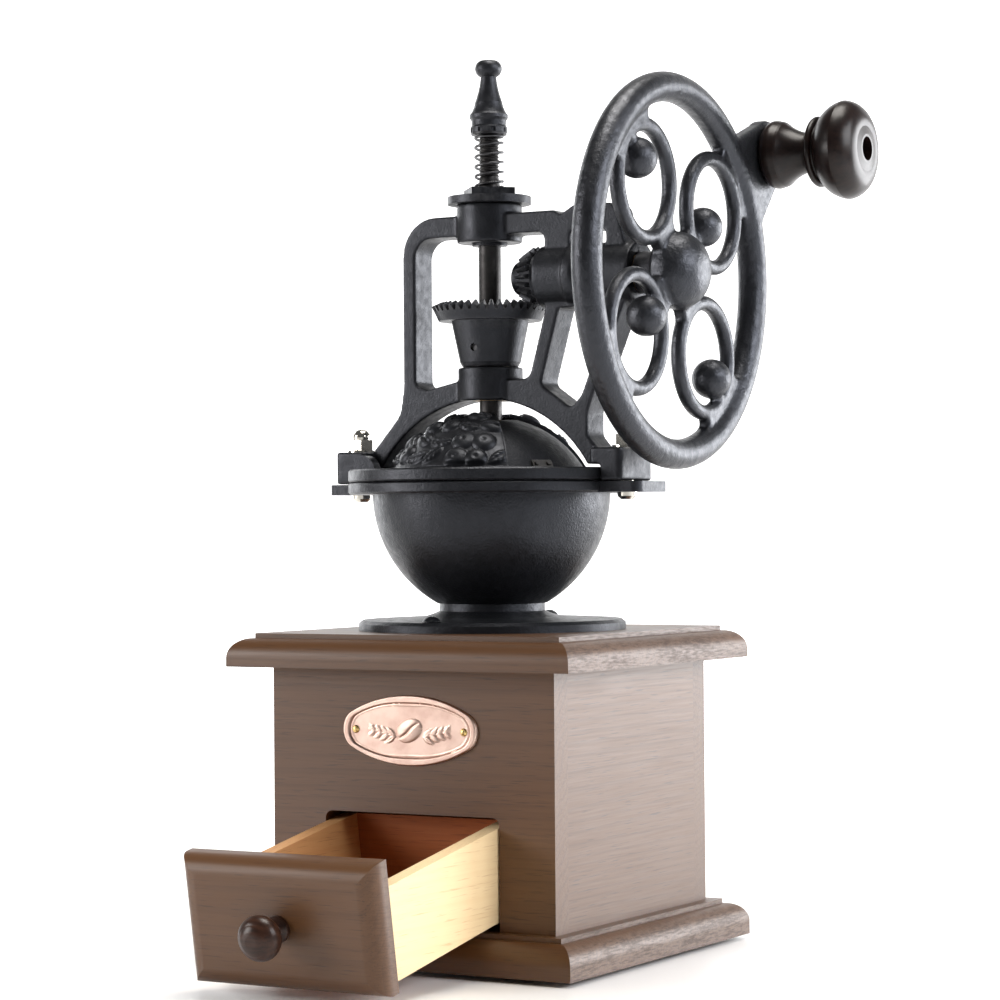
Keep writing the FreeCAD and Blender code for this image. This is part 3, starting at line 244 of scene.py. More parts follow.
# ---- materials ----------------------------------------------------------------------------------
def floor_material():
    """White sweep that glows of itself further back."""
    material, tree, shader = blank("white_sweep")
    coords = object_coords(tree)
    mottle = noise(tree, coords, 3.0)
    colour = ramp(tree, mottle, [(0.3, grey(0.93)), (0.7, grey(0.95))])
    tree.links.new(colour, shader.inputs["Base Color"])
    back = add(tree, "ShaderNodeSeparateXYZ", {"Vector": coords}).outputs["Y"]
    glow = spread(tree, back, SWEEP_FROM, SWEEP_FULL, 0.0, SWEEP_GLOW)
    tree.links.new(glow, shader.inputs["Emission Strength"])
    shader.inputs["Emission Color"].default_value = (1.0, 1.0, 1.0, 1.0)
    shader.inputs["Roughness"].default_value = 0.35
    return material


# turns that lay the texture's Z, the grain, along a piece's X or Y
GRAIN_TURN = {"X": (0, math.radians(90), 0), "Y": (math.radians(90), 0, 0)}
WOOD_COAT_ROUGH = 0.30
END_SLANT = math.radians(24)


def wood_material(name, along, seed, early, late, pore, rough=0.42, coat=0.25, ring_mm=2.4, end=0.0):
    """Solid timber: growth rings about an axis along the grain, fibres, pores and a lacquer."""
    material, tree, shader = blank(name)
    pick = random.Random(seed)
    pith = (pick.uniform(-0.02, 0.02) + 0.055, pick.uniform(-0.01, 0.01) - 0.075, pick.uniform(-0.2, 0.2))
    grain = object_coords(tree, shift=pith, turn=GRAIN_TURN[along])
    stretch = add(tree, "ShaderNodeVectorMath", {0: grain, 1: (1.0, 1.0, 0.05)}, operation="MULTIPLY")
    wander = noise(tree, stretch.outputs[0], 22.0, 2.0)
    flat = add(tree, "ShaderNodeVectorMath", {0: grain, 1: (1.0, 1.0, 0.02)}, operation="MULTIPLY")
    radius = add(tree, "ShaderNodeVectorMath", {0: flat.outputs[0]}, operation="LENGTH").outputs["Value"]
    bent = maths(tree, "MULTIPLY_ADD", wander, 0.030, radius)
    rings = maths(tree, "FRACT", maths(tree, "DIVIDE", bent, ring_mm * MM))
    fibre_space = add(tree, "ShaderNodeVectorMath", {0: grain, 1: (1.0, 1.0, 0.022)}, operation="MULTIPLY")
    fibres = noise(tree, fibre_space.outputs[0], 1500.0, 3.0, 0.6)
    pore_space = add(tree, "ShaderNodeVectorMath", {0: grain, 1: (1.0, 1.0, 0.045)}, operation="MULTIPLY")
    pores = noise(tree, pore_space.outputs[0], 2600.0, 1.0, 0.4)
    patches = noise(tree, stretch.outputs[0], 9.0, 2.0)
    ring_tone = ramp(tree, rings, [(0.0, grey(0.35)), (0.55, grey(0.2)), (0.86, grey(0.75)),
                                   (0.97, grey(0.9)), (1.0, grey(0.35))])
    tone = maths(tree, "MULTIPLY_ADD", ring_tone, 0.28, maths(tree, "MULTIPLY", fibres, 0.32))
    tone = maths(tree, "MULTIPLY_ADD", patches, 0.70, maths(tree, "SUBTRACT", tone, 0.18))
    colour = mix(tree, tone, early, late)
    pore_mask = spread(tree, pores, 0.62, 0.74, 0.0, 0.45)
    colour = mix(tree, pore_mask, colour, pore)
    dullness = spread(tree, fibres, 0.3, 0.7, rough - 0.05, rough + 0.06)
    if end > 0:
        open_grain = end_mask(tree, grain, end)
        colour = mix(tree, open_grain, colour, tuple(c * 0.7 for c in late))
        dullness = maths(tree, "MULTIPLY_ADD", open_grain, 0.25, dullness)
    tree.links.new(colour, shader.inputs["Base Color"])
    tree.links.new(dullness, shader.inputs["Roughness"])
    sunk = maths(tree, "MULTIPLY", pore_mask, 0.8)
    relief = maths(tree, "SUBTRACT", maths(tree, "MULTIPLY", fibres, 0.5), sunk)
    tree.links.new(bump(tree, relief, 0.00003, 0.6), shader.inputs["Normal"])
    shader.inputs["Coat Weight"].default_value = coat
    shader.inputs["Coat Roughness"].default_value = WOOD_COAT_ROUGH
    return material


def end_mask(tree, grain, strength):
    """Dark open pores in slanting streaks, only where the grain runs out of a surface facing X."""
    coords = add(tree, "ShaderNodeTexCoord")
    normal = add(tree, "ShaderNodeSeparateXYZ", {"Vector": coords.outputs["Normal"]})
    facing = maths(tree, "ABSOLUTE", normal.outputs["X"])
    faced = spread(tree, facing, 0.30, 0.80, 0.0, strength)
    slant = add(tree, "ShaderNodeMapping", {"Vector": grain, "Rotation": (0, 0, END_SLANT),
                                            "Scale": (1.7, 0.22, 0.3)})
    streaks = noise(tree, slant.outputs["Vector"], 1100.0, 3.0, 0.6)
    broad = noise(tree, slant.outputs["Vector"], 170.0, 1.0)
    streaks = maths(tree, "MULTIPLY_ADD", broad, 0.4, streaks)
    return maths(tree, "MULTIPLY", faced, spread(tree, streaks, 0.62, 0.86, 0.0, 1.0))


# the last colour is for convex edges: partly rubbed paint, partly a painted edge highlight
IRON_DEEP, IRON_LIGHT, IRON_RUBBED_AND_HIGHLIGHT = (0.0050, 0.0053, 0.0062), (0.0085, 0.0090, 0.0105), (0.10, 0.10, 0.105)
IRON_TINT = (0.84, 0.88, 1.0, 1.0)


def iron_material(name, rough=0.42, grain_um=45.0, edge_wear_and_highlight=0.0, hammer=0.0, gloss=0.42):
    """Sand-cast iron under black satin paint: fine grain, slow unevenness, convex edges lighter as rubbed
    paint and a painted edge highlight.
    """
    material, tree, shader = blank(name)
    coords = object_coords(tree)
    sand = noise(tree, coords, 1500.0, 2.0, 0.55)
    skin = noise(tree, coords, 420.0, 3.0, 0.5)
    slow = noise(tree, coords, 60.0, 2.0)
    shade = ramp(tree, slow, [(0.3, IRON_DEEP), (0.7, IRON_LIGHT)])
    if edge_wear_and_highlight > 0:
        geometry = add(tree, "ShaderNodeNewGeometry")
        # convex edges turn lighter: partly rubbed paint, partly a painted highlight
        edge = spread(tree, geometry.outputs["Pointiness"], 0.52, 0.60, 0.0, edge_wear_and_highlight)
        rubbed = maths(tree, "MULTIPLY", edge, spread(tree, skin, 0.40, 0.60, 0.0, 1.0))
        shade = mix(tree, rubbed, shade, IRON_RUBBED_AND_HIGHLIGHT)
    tree.links.new(shade, shader.inputs["Base Color"])
    tree.links.new(spread(tree, skin, 0.3, 0.7, rough - 0.07, rough + 0.09), shader.inputs["Roughness"])
    height = maths(tree, "MULTIPLY_ADD", sand, 1.0, maths(tree, "MULTIPLY", skin, 0.8))
    normal = bump(tree, height, grain_um * 1e-6, 1.0)
    if hammer > 0:
        pits = add(tree, "ShaderNodeTexVoronoi", {"Vector": coords, "Scale": 430.0, "Smoothness": 0.6},
                   feature="SMOOTH_F1")
        normal = bump(tree, pits.outputs["Distance"], hammer * MM, 1.0, normal)
    tree.links.new(normal, shader.inputs["Normal"])
    shader.inputs["Specular IOR Level"].default_value = gloss
    shader.inputs["Specular Tint"].default_value = IRON_TINT
    return material


def metal_material(name, colour, rough, patchy=0.15, dirt=0.25, tooth=0.5):
    """Bare metal with a fine tooth, and patches that are darker and rougher."""
    material, tree, shader = blank(name)
    shader.inputs["Metallic"].default_value = 1.0
    coords = object_coords(tree)
    fine = noise(tree, coords, 2200.0, 2.0, 0.6)
    slow = noise(tree, coords, 160.0, 3.0, 0.6)
    dark = tuple(c * (1 - dirt) for c in colour)
    tree.links.new(ramp(tree, slow, [(0.35, dark), (0.6, colour)]), shader.inputs["Base Color"])
    tree.links.new(spread(tree, slow, 0.3, 0.7, rough + patchy, rough), shader.inputs["Roughness"])
    tree.links.new(bump(tree, fine, 0.000012, tooth), shader.inputs["Normal"])
    return material


def copper_material(name):
    """Rose copper plating: brown patina in the hollows of the relief, rubbed bright on its ridges."""
    material, tree, shader = blank(name)
    shader.inputs["Metallic"].default_value = 1.0
    coords = object_coords(tree)
    slow = noise(tree, coords, 160.0, 3.0, 0.6)
    colour = ramp(tree, slow, [(0.35, (0.54, 0.38, 0.32)), (0.6, (0.63, 0.47, 0.40))])
    geometry = add(tree, "ShaderNodeNewGeometry")
    hollow = spread(tree, geometry.outputs["Pointiness"], 0.495, 0.455, 0.0, 0.9)
    colour = mix(tree, hollow, colour, (0.16, 0.06, 0.035))
    ridge = spread(tree, geometry.outputs["Pointiness"], 0.51, 0.56, 0.0, 0.7)
    colour = mix(tree, ridge, colour, (0.86, 0.66, 0.55))
    tree.links.new(colour, shader.inputs["Base Color"])
    tree.links.new(spread(tree, slow, 0.3, 0.7, 0.50, 0.38), shader.inputs["Roughness"])
    return material


def lacquer_material(name, dark, light, rough=0.31, coat=0.05, gloss=0.28):
    """Very dark turned wood under satin lacquer: the grain barely shows."""
    material, tree, shader = blank(name)
    grain = object_coords(tree, scale=(0.12, 1.0, 1.0))
    streaks = noise(tree, grain, 700.0, 4.0, 0.6)
    tree.links.new(ramp(tree, streaks, [(0.35, dark), (0.75, light)]), shader.inputs["Base Color"])
    ripple = noise(tree, object_coords(tree), 90.0, 2.0)
    tree.links.new(spread(tree, ripple, 0.3, 0.7, rough - 0.03, rough + 0.05), shader.inputs["Roughness"])
    tree.links.new(bump(tree, streaks, 0.00002, 0.35), shader.inputs["Normal"])
    shader.inputs["Specular IOR Level"].default_value = gloss
    shader.inputs["Coat Weight"].default_value = coat
    shader.inputs["Coat Roughness"].default_value = 0.18
    return material


def pad_material():
    material, tree, shader = blank("felted_pad")
    fuzz = noise(tree, object_coords(tree), 1800.0, 3.0, 0.7)
    tree.links.new(ramp(tree, fuzz, [(0.3, grey(0.02)), (0.7, grey(0.06))]), shader.inputs["Base Color"])
    tree.links.new(bump(tree, fuzz, 0.0002, 0.8), shader.inputs["Normal"])
    shader.inputs["Roughness"].default_value = 0.9
    return material


WALNUT = dict(early=(0.125, 0.052, 0.015), late=(0.050, 0.018, 0.004), pore=(0.016, 0.005, 0.002))
PALE = dict(early=(0.93, 0.73, 0.44), late=(0.80, 0.55, 0.28), pore=(0.56, 0.31, 0.13))
# the pale drawer wood darkened as painted shade, for the inside of the drawer's left side
PALE_WOOD_PAINTED_SHADE = dict(early=(0.62, 0.34, 0.14), late=(0.44, 0.20, 0.07), pore=(0.22, 0.09, 0.03))
REDDISH = dict(early=(0.42, 0.130, 0.036), late=(0.24, 0.064, 0.016), pore=(0.06, 0.015, 0.005))


# node, way of the grain, seed
PANELS = [("front_panel", "X", 3), ("back_panel", "X", 5), ("left_panel", "Y", 8), ("right_panel", "Y", 11)]
HIDDEN = [("drawer_back", "X", 9), ("drawer_floor", "Y", 12), ("drawer_runners", "Y", 15)]
# node, seed, strength of the end grain
MOULDED = [("top_board", 21, 0.8), ("bottom_board", 34, 0.8), ("drawer_front", 47, 0.35)]
# node, seed, tint; the left side's tint is the pale wood darkened as painted shade
SIDES = [("drawer_left_side", 2, PALE_WOOD_PAINTED_SHADE), ("drawer_right_side", 6, PALE)]
PANEL_ARRIS_MM, MOULDED_ARRIS_MM, DRAWER_ARRIS_MM = 0.25, 0.45, 0.3
ARRIS_STEPS, ARRIS_ANGLE = 3, math.radians(38)


def dress_wood():
    for node, along, seed in PANELS:
        stained = wood_material("stained_" + node, along, seed, rough=0.46, coat=0.12, **WALNUT)
        paint(NODES[node], stained)
        soften(NODES[node], PANEL_ARRIS_MM)
    for node, seed, end in MOULDED:
        stained = wood_material("stained_" + node, "X", seed, rough=0.43, coat=0.12, end=end, **WALNUT)
        paint(NODES[node], stained)
        soften(NODES[node], MOULDED_ARRIS_MM)
    for node, seed, tint in SIDES:
        raw = wood_material("raw_" + node, "Y", seed, rough=0.6, coat=0.0, ring_mm=3.4, **tint)
        paint(NODES[node], raw)
        soften(NODES[node], DRAWER_ARRIS_MM)
    for node, along, seed in HIDDEN:
        raw = wood_material("raw_" + node, along, seed, rough=0.65, coat=0.0, ring_mm=3.0, **REDDISH)
        paint(NODES[node], raw)
        soften(NODES[node], DRAWER_ARRIS_MM)


def soften(piece, width_mm):
    """Rounds a wooden piece's sharp arrises."""
    edge = piece.modifiers.new("arris", "BEVEL")
    edge.width, edge.segments = width_mm * MM, ARRIS_STEPS
    edge.limit_method, edge.angle_limit = "ANGLE", ARRIS_ANGLE
    edge.harden_normals = False


# node, voxel mm, smoothing passes
SKINS = [("yoke_frame", 0.45, 6), ("crank_wheel", 0.56, 7)]


def cast_skin(node, voxel_mm, passes):
    """Gives a casting its softly rounded edges: a fine even mesh, smoothed."""
    piece = NODES[node]
    grid = piece.modifiers.new("skin", "REMESH")
    grid.mode, grid.voxel_size, grid.use_smooth_shade = "VOXEL", voxel_mm * MM, True
    relax = piece.modifiers.new("fillet", "SMOOTH")
    relax.factor, relax.iterations = 0.5, passes


def dress_iron():
    cast = iron_material("cast_iron", grain_um=70.0, edge_wear_and_highlight=0.25)
    smooth_iron = iron_material("cast_iron_bowl", grain_um=130.0, rough=0.38)
    wheel_iron = iron_material("cast_iron_wheel", rough=0.39, grain_um=120.0, edge_wear_and_highlight=0.25, hammer=0.12,
                               gloss=0.62)
    for node, voxel_mm, passes in SKINS:
        cast_skin(node, voxel_mm, passes)
    for node in ("yoke_frame", "top_bush", "ring_gear", "gear_hub", "pinion", "finial_nut", "crank_collar"):
        paint(NODES[node], cast)
    for node in ("hopper_bowl", "hopper_foot", "lid_ring"):
        paint(NODES[node], smooth_iron)
    paint(NODES["lid_door"], iron_material("cast_iron_door", grain_um=150.0, rough=0.5, gloss=0.3))
    paint(NODES["crank_wheel"], wheel_iron)
    paint(NODES["hopper_screws"], iron_material("black_screw", rough=0.35, grain_um=15.0))
    burr = metal_material("burr_iron", (0.30, 0.30, 0.31), 0.45)
    for node in ("outer_burr", "inner_burr"):
        paint(NODES[node], burr)


def dress_metal():
    steel = metal_material("turned_steel", (0.42, 0.42, 0.43), 0.32)
    for node in ("burr_washer", "burr_nut", "crank_shaft", "collar_screw", "handle_screw", "knob_washer",
                 "drawer_stop_pins", "drawer_knob_screw", "box_screws"):
        paint(NODES[node], steel)
    black_steel = metal_material("blackened_steel", (0.055, 0.055, 0.058), 0.42)
    for node in ("spindle_shaft", "adjusting_spring", "ring_gear_pin", "cup_washer"):
        paint(NODES[node], black_steel)
    paint(NODES["lid_door_tab"], metal_material("tab_steel", (0.16, 0.155, 0.15), 0.34))
    nickel = metal_material("nickel", (0.80, 0.77, 0.70), 0.12, patchy=0.06, dirt=0.10, tooth=0.1)
    for node in ("clamp_bolts", "clamp_washers", "acorn_nuts"):
        paint(NODES[node], nickel)
    bronze = metal_material("bush_bronze", (0.45, 0.30, 0.15), 0.4)
    for node in ("lower_bush", "barrel_bushes"):
        paint(NODES[node], bronze)
    paint(NODES["name_plate"], copper_material("plate_back"))
    paint(NODES["name_plate_pins"], metal_material("pin_brass", (0.85, 0.62, 0.25), 0.2))
    paint(NODES["base_pad"], pad_material())


def dress_knobs():
    espresso = lacquer_material("espresso_lacquer", (0.006, 0.003, 0.003), (0.016, 0.008, 0.006))
    paint(NODES["handle_knob"], espresso)
    brown = lacquer_material("brown_lacquer", (0.020, 0.008, 0.005), (0.055, 0.022, 0.012))
    paint(NODES["drawer_knob"], brown)


# ---- pieces that Blender adds or replaces ---------------------------------------------------------
def close_grid(mesh, rows, wrap):
    """Quads between rows of vertices. Wrapped rows close on themselves."""
    for low, high in zip(rows, rows[1:]):
        count = len(low)
        for i in range(count if wrap else count - 1):
            j = (i + 1) % count
            mesh.faces.new((low[i], low[j], high[j], high[i]))


def sweep_tube(name, path, radius, sides=12):
    """Round wire along a list of points, with flat ends."""
    mesh = bmesh.new()
    rows = []
    for i, point in enumerate(path):
        ahead, behind = path[min(i + 1, len(path) - 1)], path[max(i - 1, 0)]
        along = (ahead - behind).normalized()
        out = Vector((point.x, point.y, 0)).normalized()
        up = along.cross(out).normalized()
        out = up.cross(along)
        ring = []
        for k in range(sides):
            turn = 2 * math.pi * k / sides
            ring.append(mesh.verts.new(point + radius * (math.cos(turn) * out + math.sin(turn) * up)))
        rows.append(ring)
    close_grid(mesh, rows, wrap=True)
    mesh.faces.new(list(reversed(rows[0])))
    mesh.faces.new(rows[-1])
    bmesh.ops.recalc_face_normals(mesh, faces=mesh.faces)
    return link_mesh(mesh, name)


SPRING_COILS, SPRING_DEAD = 5.0, 0.6      # turns, and closed turns at each end
WIRE_R_MM, SPRING_MEAN_MM = 0.42, 4.3
DEAD_PITCH, SPRING_CLEAR = 1.6, 1.1       # rise per closed turn and the wire's end height, in wire radii
STEPS_PER_TURN = 40


def make_spring():
    """Adjusting spring with closed ends, between the top bush and the cup washer."""
    low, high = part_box("top_bush")[1].z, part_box("cup_washer")[0].z
    wire, mean = WIRE_R_MM * MM, SPRING_MEAN_MM * MM
    bottom, top = low + wire * SPRING_CLEAR, high - wire * SPRING_CLEAR
    open_height = top - bottom - wire * 2 * DEAD_PITCH * SPRING_DEAD
    path = []
    turns = SPRING_COILS + 2 * SPRING_DEAD
    steps = int(turns * STEPS_PER_TURN)
    for i in range(steps + 1):
        wound = turns * i / steps
        live = min(max((wound - SPRING_DEAD) / SPRING_COILS, 0.0), 1.0)
        dead = wire * DEAD_PITCH * (min(wound, SPRING_DEAD) + max(wound - SPRING_DEAD - SPRING_COILS, 0.0))
        height = bottom + dead + live * open_height
        turn = 2 * math.pi * wound
        path.append(Vector((mean * math.cos(turn), mean * math.sin(turn), height)))
    spring = sweep_tube("spring_coil", path, wire)
    paint(spring, metal_material("spring_wire", (0.10, 0.10, 0.105), 0.36))
    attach(spring, "spindle")
    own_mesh(spring)
    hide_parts("adjusting_spring")


THREAD_PITCH_MM, THREAD_DEPTH_MM, THREAD_R_MM, SHAFT_R_MM = 1.0, 0.45, 3.2, 3.5
ROWS_PER_PITCH, SHAFT_SIDES = 8, 48
SHAFT_CHAMFER_MM, THREAD_START_MM, SHAFT_STEP_MM = 0.4, 0.4, 4


def make_spindle():
    """Spindle with a real screw thread above the top bush."""
    low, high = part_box("spindle_shaft")
    thread_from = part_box("top_bush")[1].z + THREAD_START_MM * MM
    heights = [low.z, low.z + SHAFT_CHAMFER_MM * MM]
    height = heights[-1]
    while height < thread_from:
        height += SHAFT_STEP_MM * MM
        heights.append(min(height, thread_from))
    while height < high.z - 0.3 * MM:
        height += THREAD_PITCH_MM * MM / ROWS_PER_PITCH
        heights.append(min(height, high.z))
    mesh = bmesh.new()
    rows = []
    for level in heights:
        ring = []
        for k in range(SHAFT_SIDES):
            turn = 2 * math.pi * k / SHAFT_SIDES
            radius = SHAFT_R_MM
            if level > thread_from:
                phase = ((level - thread_from) / (THREAD_PITCH_MM * MM) - k / SHAFT_SIDES) % 1.0
                radius = THREAD_R_MM - THREAD_DEPTH_MM * abs(2 * phase - 1)
            if level == low.z:
                radius -= SHAFT_CHAMFER_MM
            ring.append(mesh.verts.new((radius * MM * math.cos(turn), radius * MM * math.sin(turn), level)))
        rows.append(ring)
    close_grid(mesh, rows, wrap=True)
    mesh.faces.new(list(reversed(rows[0])))
    mesh.faces.new(rows[-1])
    shaft = link_mesh(mesh, "threaded_spindle")
    paint(shaft, metal_material("spindle_steel", (0.060, 0.058, 0.058), 0.42, patchy=0.12, dirt=0.35))
    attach(shaft, "spindle")
    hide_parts("spindle_shaft")


# ---- the oval plate: raised border and a coffee sprig -----------------------------------------------
PLATE_END_MM, BORDER_MM, BORDER_UP_MM, FIELD_MM = 6.5, 1.9, 0.55, 0.6
BEAD_UP_MM, BEAD_HALF_MM, EMBLEM_UP = 0.12, 0.22, 0.75
PLATE_SPOKES, PLATE_RINGS = 260, 72


def lens_reach(turn, half_w, half_h, end_r):
    """Distance from the centre to the plate's outline in a direction."""
    tip_x, tip_z = half_w - end_r * 0.35, end_r * 0.76
    flat_sag, end_sag = half_h - tip_z, half_w - tip_x
    flat_r = (tip_x ** 2 + flat_sag ** 2) / (2 * flat_sag)
    round_r = (tip_z ** 2 + end_sag ** 2) / (2 * end_sag)
    across, up = abs(math.cos(turn)), abs(math.sin(turn))
    if up * tip_x > across * tip_z:
        centre = Vector((0.0, half_h - flat_r))
        radius = flat_r
    else:
        centre = Vector((half_w - round_r, 0.0))
        radius = round_r
    along = Vector((across, up))
    middle = along.dot(centre)
    return middle + math.sqrt(max(middle ** 2 - centre.length_squared + radius ** 2, 0.0))


def ease(value, low, high):
    """Rises softly from 0 at low to 1 at high."""
    t = min(max((value - low) / (high - low), 0.0), 1.0)
    return t * t * (3 - 2 * t)


SEAM_DEPTH, SEAM_HALF = 0.68, 0.13        # share of the bean's height, share of its half width


def bean_height(x, z, half_long, half_wide, turn, tall):
    """Height of a coffee bean lying flat side up, with its curved seam."""
    along = x * math.cos(turn) + z * math.sin(turn)
    across = -x * math.sin(turn) + z * math.cos(turn)
    inside = 1 - (along / half_long) ** 2 - (across / half_wide) ** 2
    if inside <= 0:
        return 0.0
    seam = 0.16 * half_wide * math.sin(along / half_long * 2.6)
    cut = math.exp(-((across - seam) / (SEAM_HALF * half_wide)) ** 2)
    return tall * (inside ** 0.5) * (1 - SEAM_DEPTH * cut * min(1.0, inside * 3))


def leaf_height(x, z, length, width, turn, tall):
    """Height of a pointed leaf with a sunk midrib, from its stem end."""
    along = (x * math.cos(turn) + z * math.sin(turn)) / length
    across = -x * math.sin(turn) + z * math.cos(turn)
    if not 0 < along < 1:
        return 0.0
    half = width / 2 * math.sin(math.pi * along ** 0.8)
    inside = 1 - (across / half) ** 2 if half > 1e-6 else 0
    if inside <= 0:
        return 0.0
    rib = math.exp(-(across / (0.09 * width)) ** 2)
    veins = 0.12 * math.cos((along * 9 - abs(across) / width * 5) * math.pi)
    return tall * (inside ** 0.5) * (1 - 0.5 * rib + veins * (1 - rib))


SPRIG_PAIRS, SPRIG_FROM_MM, SPRIG_PITCH_MM, SPRIG_ROOT_MM = 4, 5.2, 2.3, -1.9


def sprig_height(x, z):
    """Emblem: a bean between two leafy sprigs."""
    tall = bean_height(x, z, 4.6, 3.3, math.radians(28), 0.75)
    for side in (-1, 1):
        for i in range(SPRIG_PAIRS):
            root_x, root_z = side * (SPRIG_FROM_MM + SPRIG_PITCH_MM * i), SPRIG_ROOT_MM + 0.55 * i
            for up in (-1, 1):
                turn = math.radians(38 * up + 6) if side > 0 else math.pi - math.radians(38 * up + 6)
                leaf = leaf_height(x - root_x, z - root_z, 3.9 - 0.35 * i, 1.7 - 0.12 * i, turn, 0.42)
                tall = max(tall, leaf)
        stem_z = SPRIG_ROOT_MM + 0.24 * (abs(x) - SPRIG_FROM_MM)
        if 4.8 < side * x < 14.5:
            tall = max(tall, 0.3 * math.exp(-((z - stem_z) / 0.22) ** 2))
    return tall


def make_plate():
    """Embossed oval plate on the front of the case."""
    low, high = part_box("name_plate")
    half_w, half_h = (high.x - low.x) / 2 / MM, (high.z - low.z) / 2 / MM
    centre = (low + high) / 2
    mesh = bmesh.new()
    rows = []
    for i in range(1, PLATE_RINGS + 1):
        share = (i / PLATE_RINGS) ** 0.9
        row = []
        for k in range(PLATE_SPOKES):
            turn = 2 * math.pi * k / PLATE_SPOKES
            edge = lens_reach(turn, half_w, half_h, PLATE_END_MM)
            x, z = share * edge * math.cos(turn), share * edge * math.sin(turn)
            inset = (1 - share) * edge * 0.93
            rim = ease(inset, 0.0, 0.45) * (1 - ease(inset, BORDER_MM, BORDER_MM + 0.5))
            bead = BEAD_UP_MM * math.exp(-((inset - BORDER_MM - 1.0) / BEAD_HALF_MM) ** 2)
            up = FIELD_MM * ease(inset, -0.02, 0.2) + BORDER_UP_MM * rim + bead
            if inset > BORDER_MM + 1.3:
                up += EMBLEM_UP * sprig_height(x, z)
            up = min(up, (high.y - low.y) / MM)
            row.append(mesh.verts.new((centre.x + x * MM, high.y - up * MM, centre.z + z * MM)))
        rows.append(row)
    close_grid(mesh, rows, wrap=True)
    middle_up = FIELD_MM + EMBLEM_UP * sprig_height(0, 0)
    middle = mesh.verts.new((centre.x, high.y - middle_up * MM, centre.z))
    for k in range(PLATE_SPOKES):
        mesh.faces.new((middle, rows[0][k], rows[0][(k + 1) % PLATE_SPOKES]))
    back = [mesh.verts.new((v.co.x, high.y, v.co.z)) for v in rows[-1]]
    close_grid(mesh, [rows[-1], back], wrap=True)
    mesh.faces.new(back)
    bmesh.ops.recalc_face_normals(mesh, faces=mesh.faces)
    plate = link_mesh(mesh, "embossed_plate")
    paint(plate, copper_material("rose_copper"))
    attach(plate, "base")
    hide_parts("name_plate")


# ---- relief on the fixed dome ------------------------------------------------------------------------
DOME_CENTRE_MM, DOME_R_MM = 133.2, 35.8
RELIEF_FROM, RELIEF_TO = 43.0, 309.5      # degrees about +Z
RELIEF_TOP, RELIEF_FOOT = 16.0, 59.0      # degrees from the crown
RELIEF_ROWS = (20.0, 31.0, 42.5, 53.5)
RELIEF_PITCH_MM, RELIEF_REACH_MM = 7.4, 9.0
CHERRY_R_MM, BEAN_HALF_MM, LEAF_MM = 3.6, (4.4, 3.1), (9.5, 4.8)
CHERRY_UP_MM, BEAN_UP_MM, LEAF_UP_MM, SKIN_UP_MM = 1.75, 1.6, 1.15, 0.10
RELIEF_AROUND, RELIEF_DOWN = 420, 84
RELIEF_BACK_MM = 0.5                      # how deep the relief's back lies in the dome


def scatter_relief():
    """Cherries, beans and leaves laid over the dome: (kind, azimuth, polar, size, turn, height)."""
    pick = random.Random(17)
    motifs = []
    span = RELIEF_TO - RELIEF_FROM
    for row, polar in enumerate(RELIEF_ROWS):
        around = 2 * math.pi * DOME_R_MM * math.sin(math.radians(polar))
        count = max(int(around * span / 360 / RELIEF_PITCH_MM), 3)
        for i in range(count):
            azimuth = RELIEF_FROM + span * (i + 0.5 * (row % 2) + pick.uniform(0.15, 0.4)) / count
            kind = pick.choice(("cherry", "cherry", "bean", "leaf"))
            motifs.append((kind, azimuth, polar + pick.uniform(-1.6, 1.6), pick.uniform(0.85, 1.12),
                           pick.uniform(0, math.tau), pick.uniform(0.85, 1.1)))
    return motifs


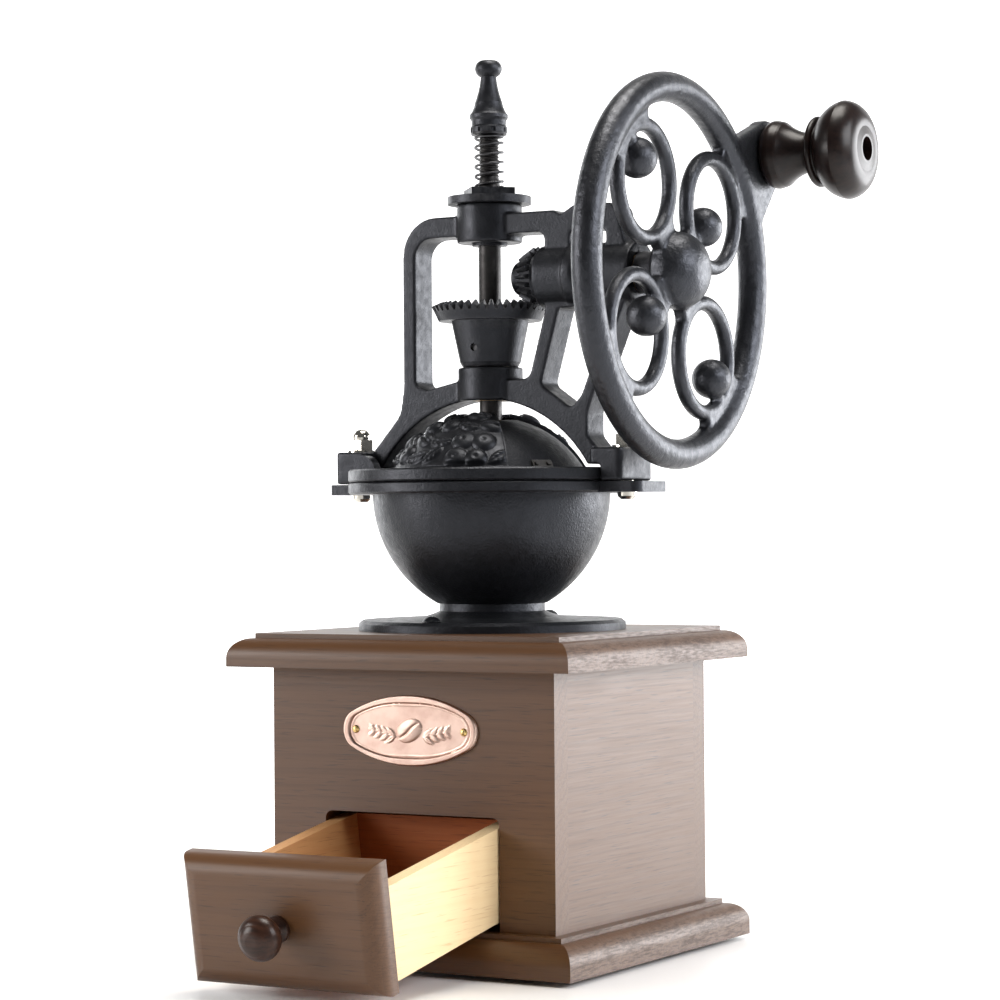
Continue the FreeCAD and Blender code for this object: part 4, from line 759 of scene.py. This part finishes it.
def relief_height(azimuth, polar, motifs):
    """Height of the casting's relief above the dome at one place."""
    tall = SKIN_UP_MM
    for kind, at_azimuth, at_polar, size, turn, up in motifs:
        x = (azimuth - at_azimuth) * math.radians(1) * DOME_R_MM * math.sin(math.radians(polar))
        z = (polar - at_polar) * math.radians(1) * DOME_R_MM
        if abs(x) > RELIEF_REACH_MM or abs(z) > RELIEF_REACH_MM:
            continue
        if kind == "cherry":
            inside = 1 - (x * x + z * z) / (CHERRY_R_MM * size) ** 2
            dimple = 0.45 * math.exp(-(x * x + z * z) / 0.5)
            tall = max(tall, up * CHERRY_UP_MM * max(inside, 0) ** 0.5 - dimple * up)
        elif kind == "bean":
            half_long, half_wide = BEAN_HALF_MM
            tall = max(tall, bean_height(x, z, half_long * size, half_wide * size, turn, BEAN_UP_MM * up))
        else:
            length, width = LEAF_MM
            from_x = x + length / 2 * size * math.cos(turn)
            from_z = z + length / 2 * size * math.sin(turn)
            tall = max(tall, leaf_height(from_x, from_z, length * size, width * size, turn, LEAF_UP_MM * up))
    return tall


def outline(rows):
    """Vertices round the edge of a grid, in order."""
    return rows[0] + [row[-1] for row in rows[1:]] + rows[-1][-2::-1] + [row[0] for row in rows[-2:0:-1]]


def make_relief():
    """Cast relief of coffee cherries, beans and leaves on the fixed part of the dome."""
    motifs = scatter_relief()
    centre = Vector((0, 0, DOME_CENTRE_MM))
    around, down = RELIEF_AROUND, RELIEF_DOWN
    mesh = bmesh.new()
    top_rows, bottom_rows = [], []
    for i in range(down + 1):
        polar = RELIEF_TOP + (RELIEF_FOOT - RELIEF_TOP) * i / down
        top, bottom = [], []
        for k in range(around + 1):
            azimuth = RELIEF_FROM + (RELIEF_TO - RELIEF_FROM) * k / around
            p, a = math.radians(polar), math.radians(azimuth)
            way = Vector((math.sin(p) * math.cos(a), math.sin(p) * math.sin(a), math.cos(p)))
            fade = min(ease(i, 0, 3), ease(down - i, 0, 4), ease(k, 0, 2), ease(around - k, 0, 2))
            tall = relief_height(azimuth, polar, motifs) * fade
            top.append(mesh.verts.new((centre + way * (DOME_R_MM + tall - 0.02)) * MM))
            bottom.append(mesh.verts.new((centre + way * (DOME_R_MM - RELIEF_BACK_MM)) * MM))
        top_rows.append(top)
        bottom_rows.append(bottom)
    close_grid(mesh, top_rows, wrap=False)
    close_grid(mesh, [list(reversed(row)) for row in bottom_rows], wrap=False)
    close_grid(mesh, [outline(top_rows), outline(bottom_rows)], wrap=True)
    bmesh.ops.recalc_face_normals(mesh, faces=mesh.faces)
    relief = link_mesh(mesh, "dome_relief")
    paint(relief, iron_material("cast_relief", grain_um=50.0, edge_wear_and_highlight=0.25))
    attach(relief, "base")


bpy.context.scene.view_settings.view_transform = "Standard"
make_camera()
make_lights()
make_world()
make_floor()
dress_wood()
dress_iron()
dress_metal()
dress_knobs()
make_spring()
make_spindle()
make_plate()
make_relief()
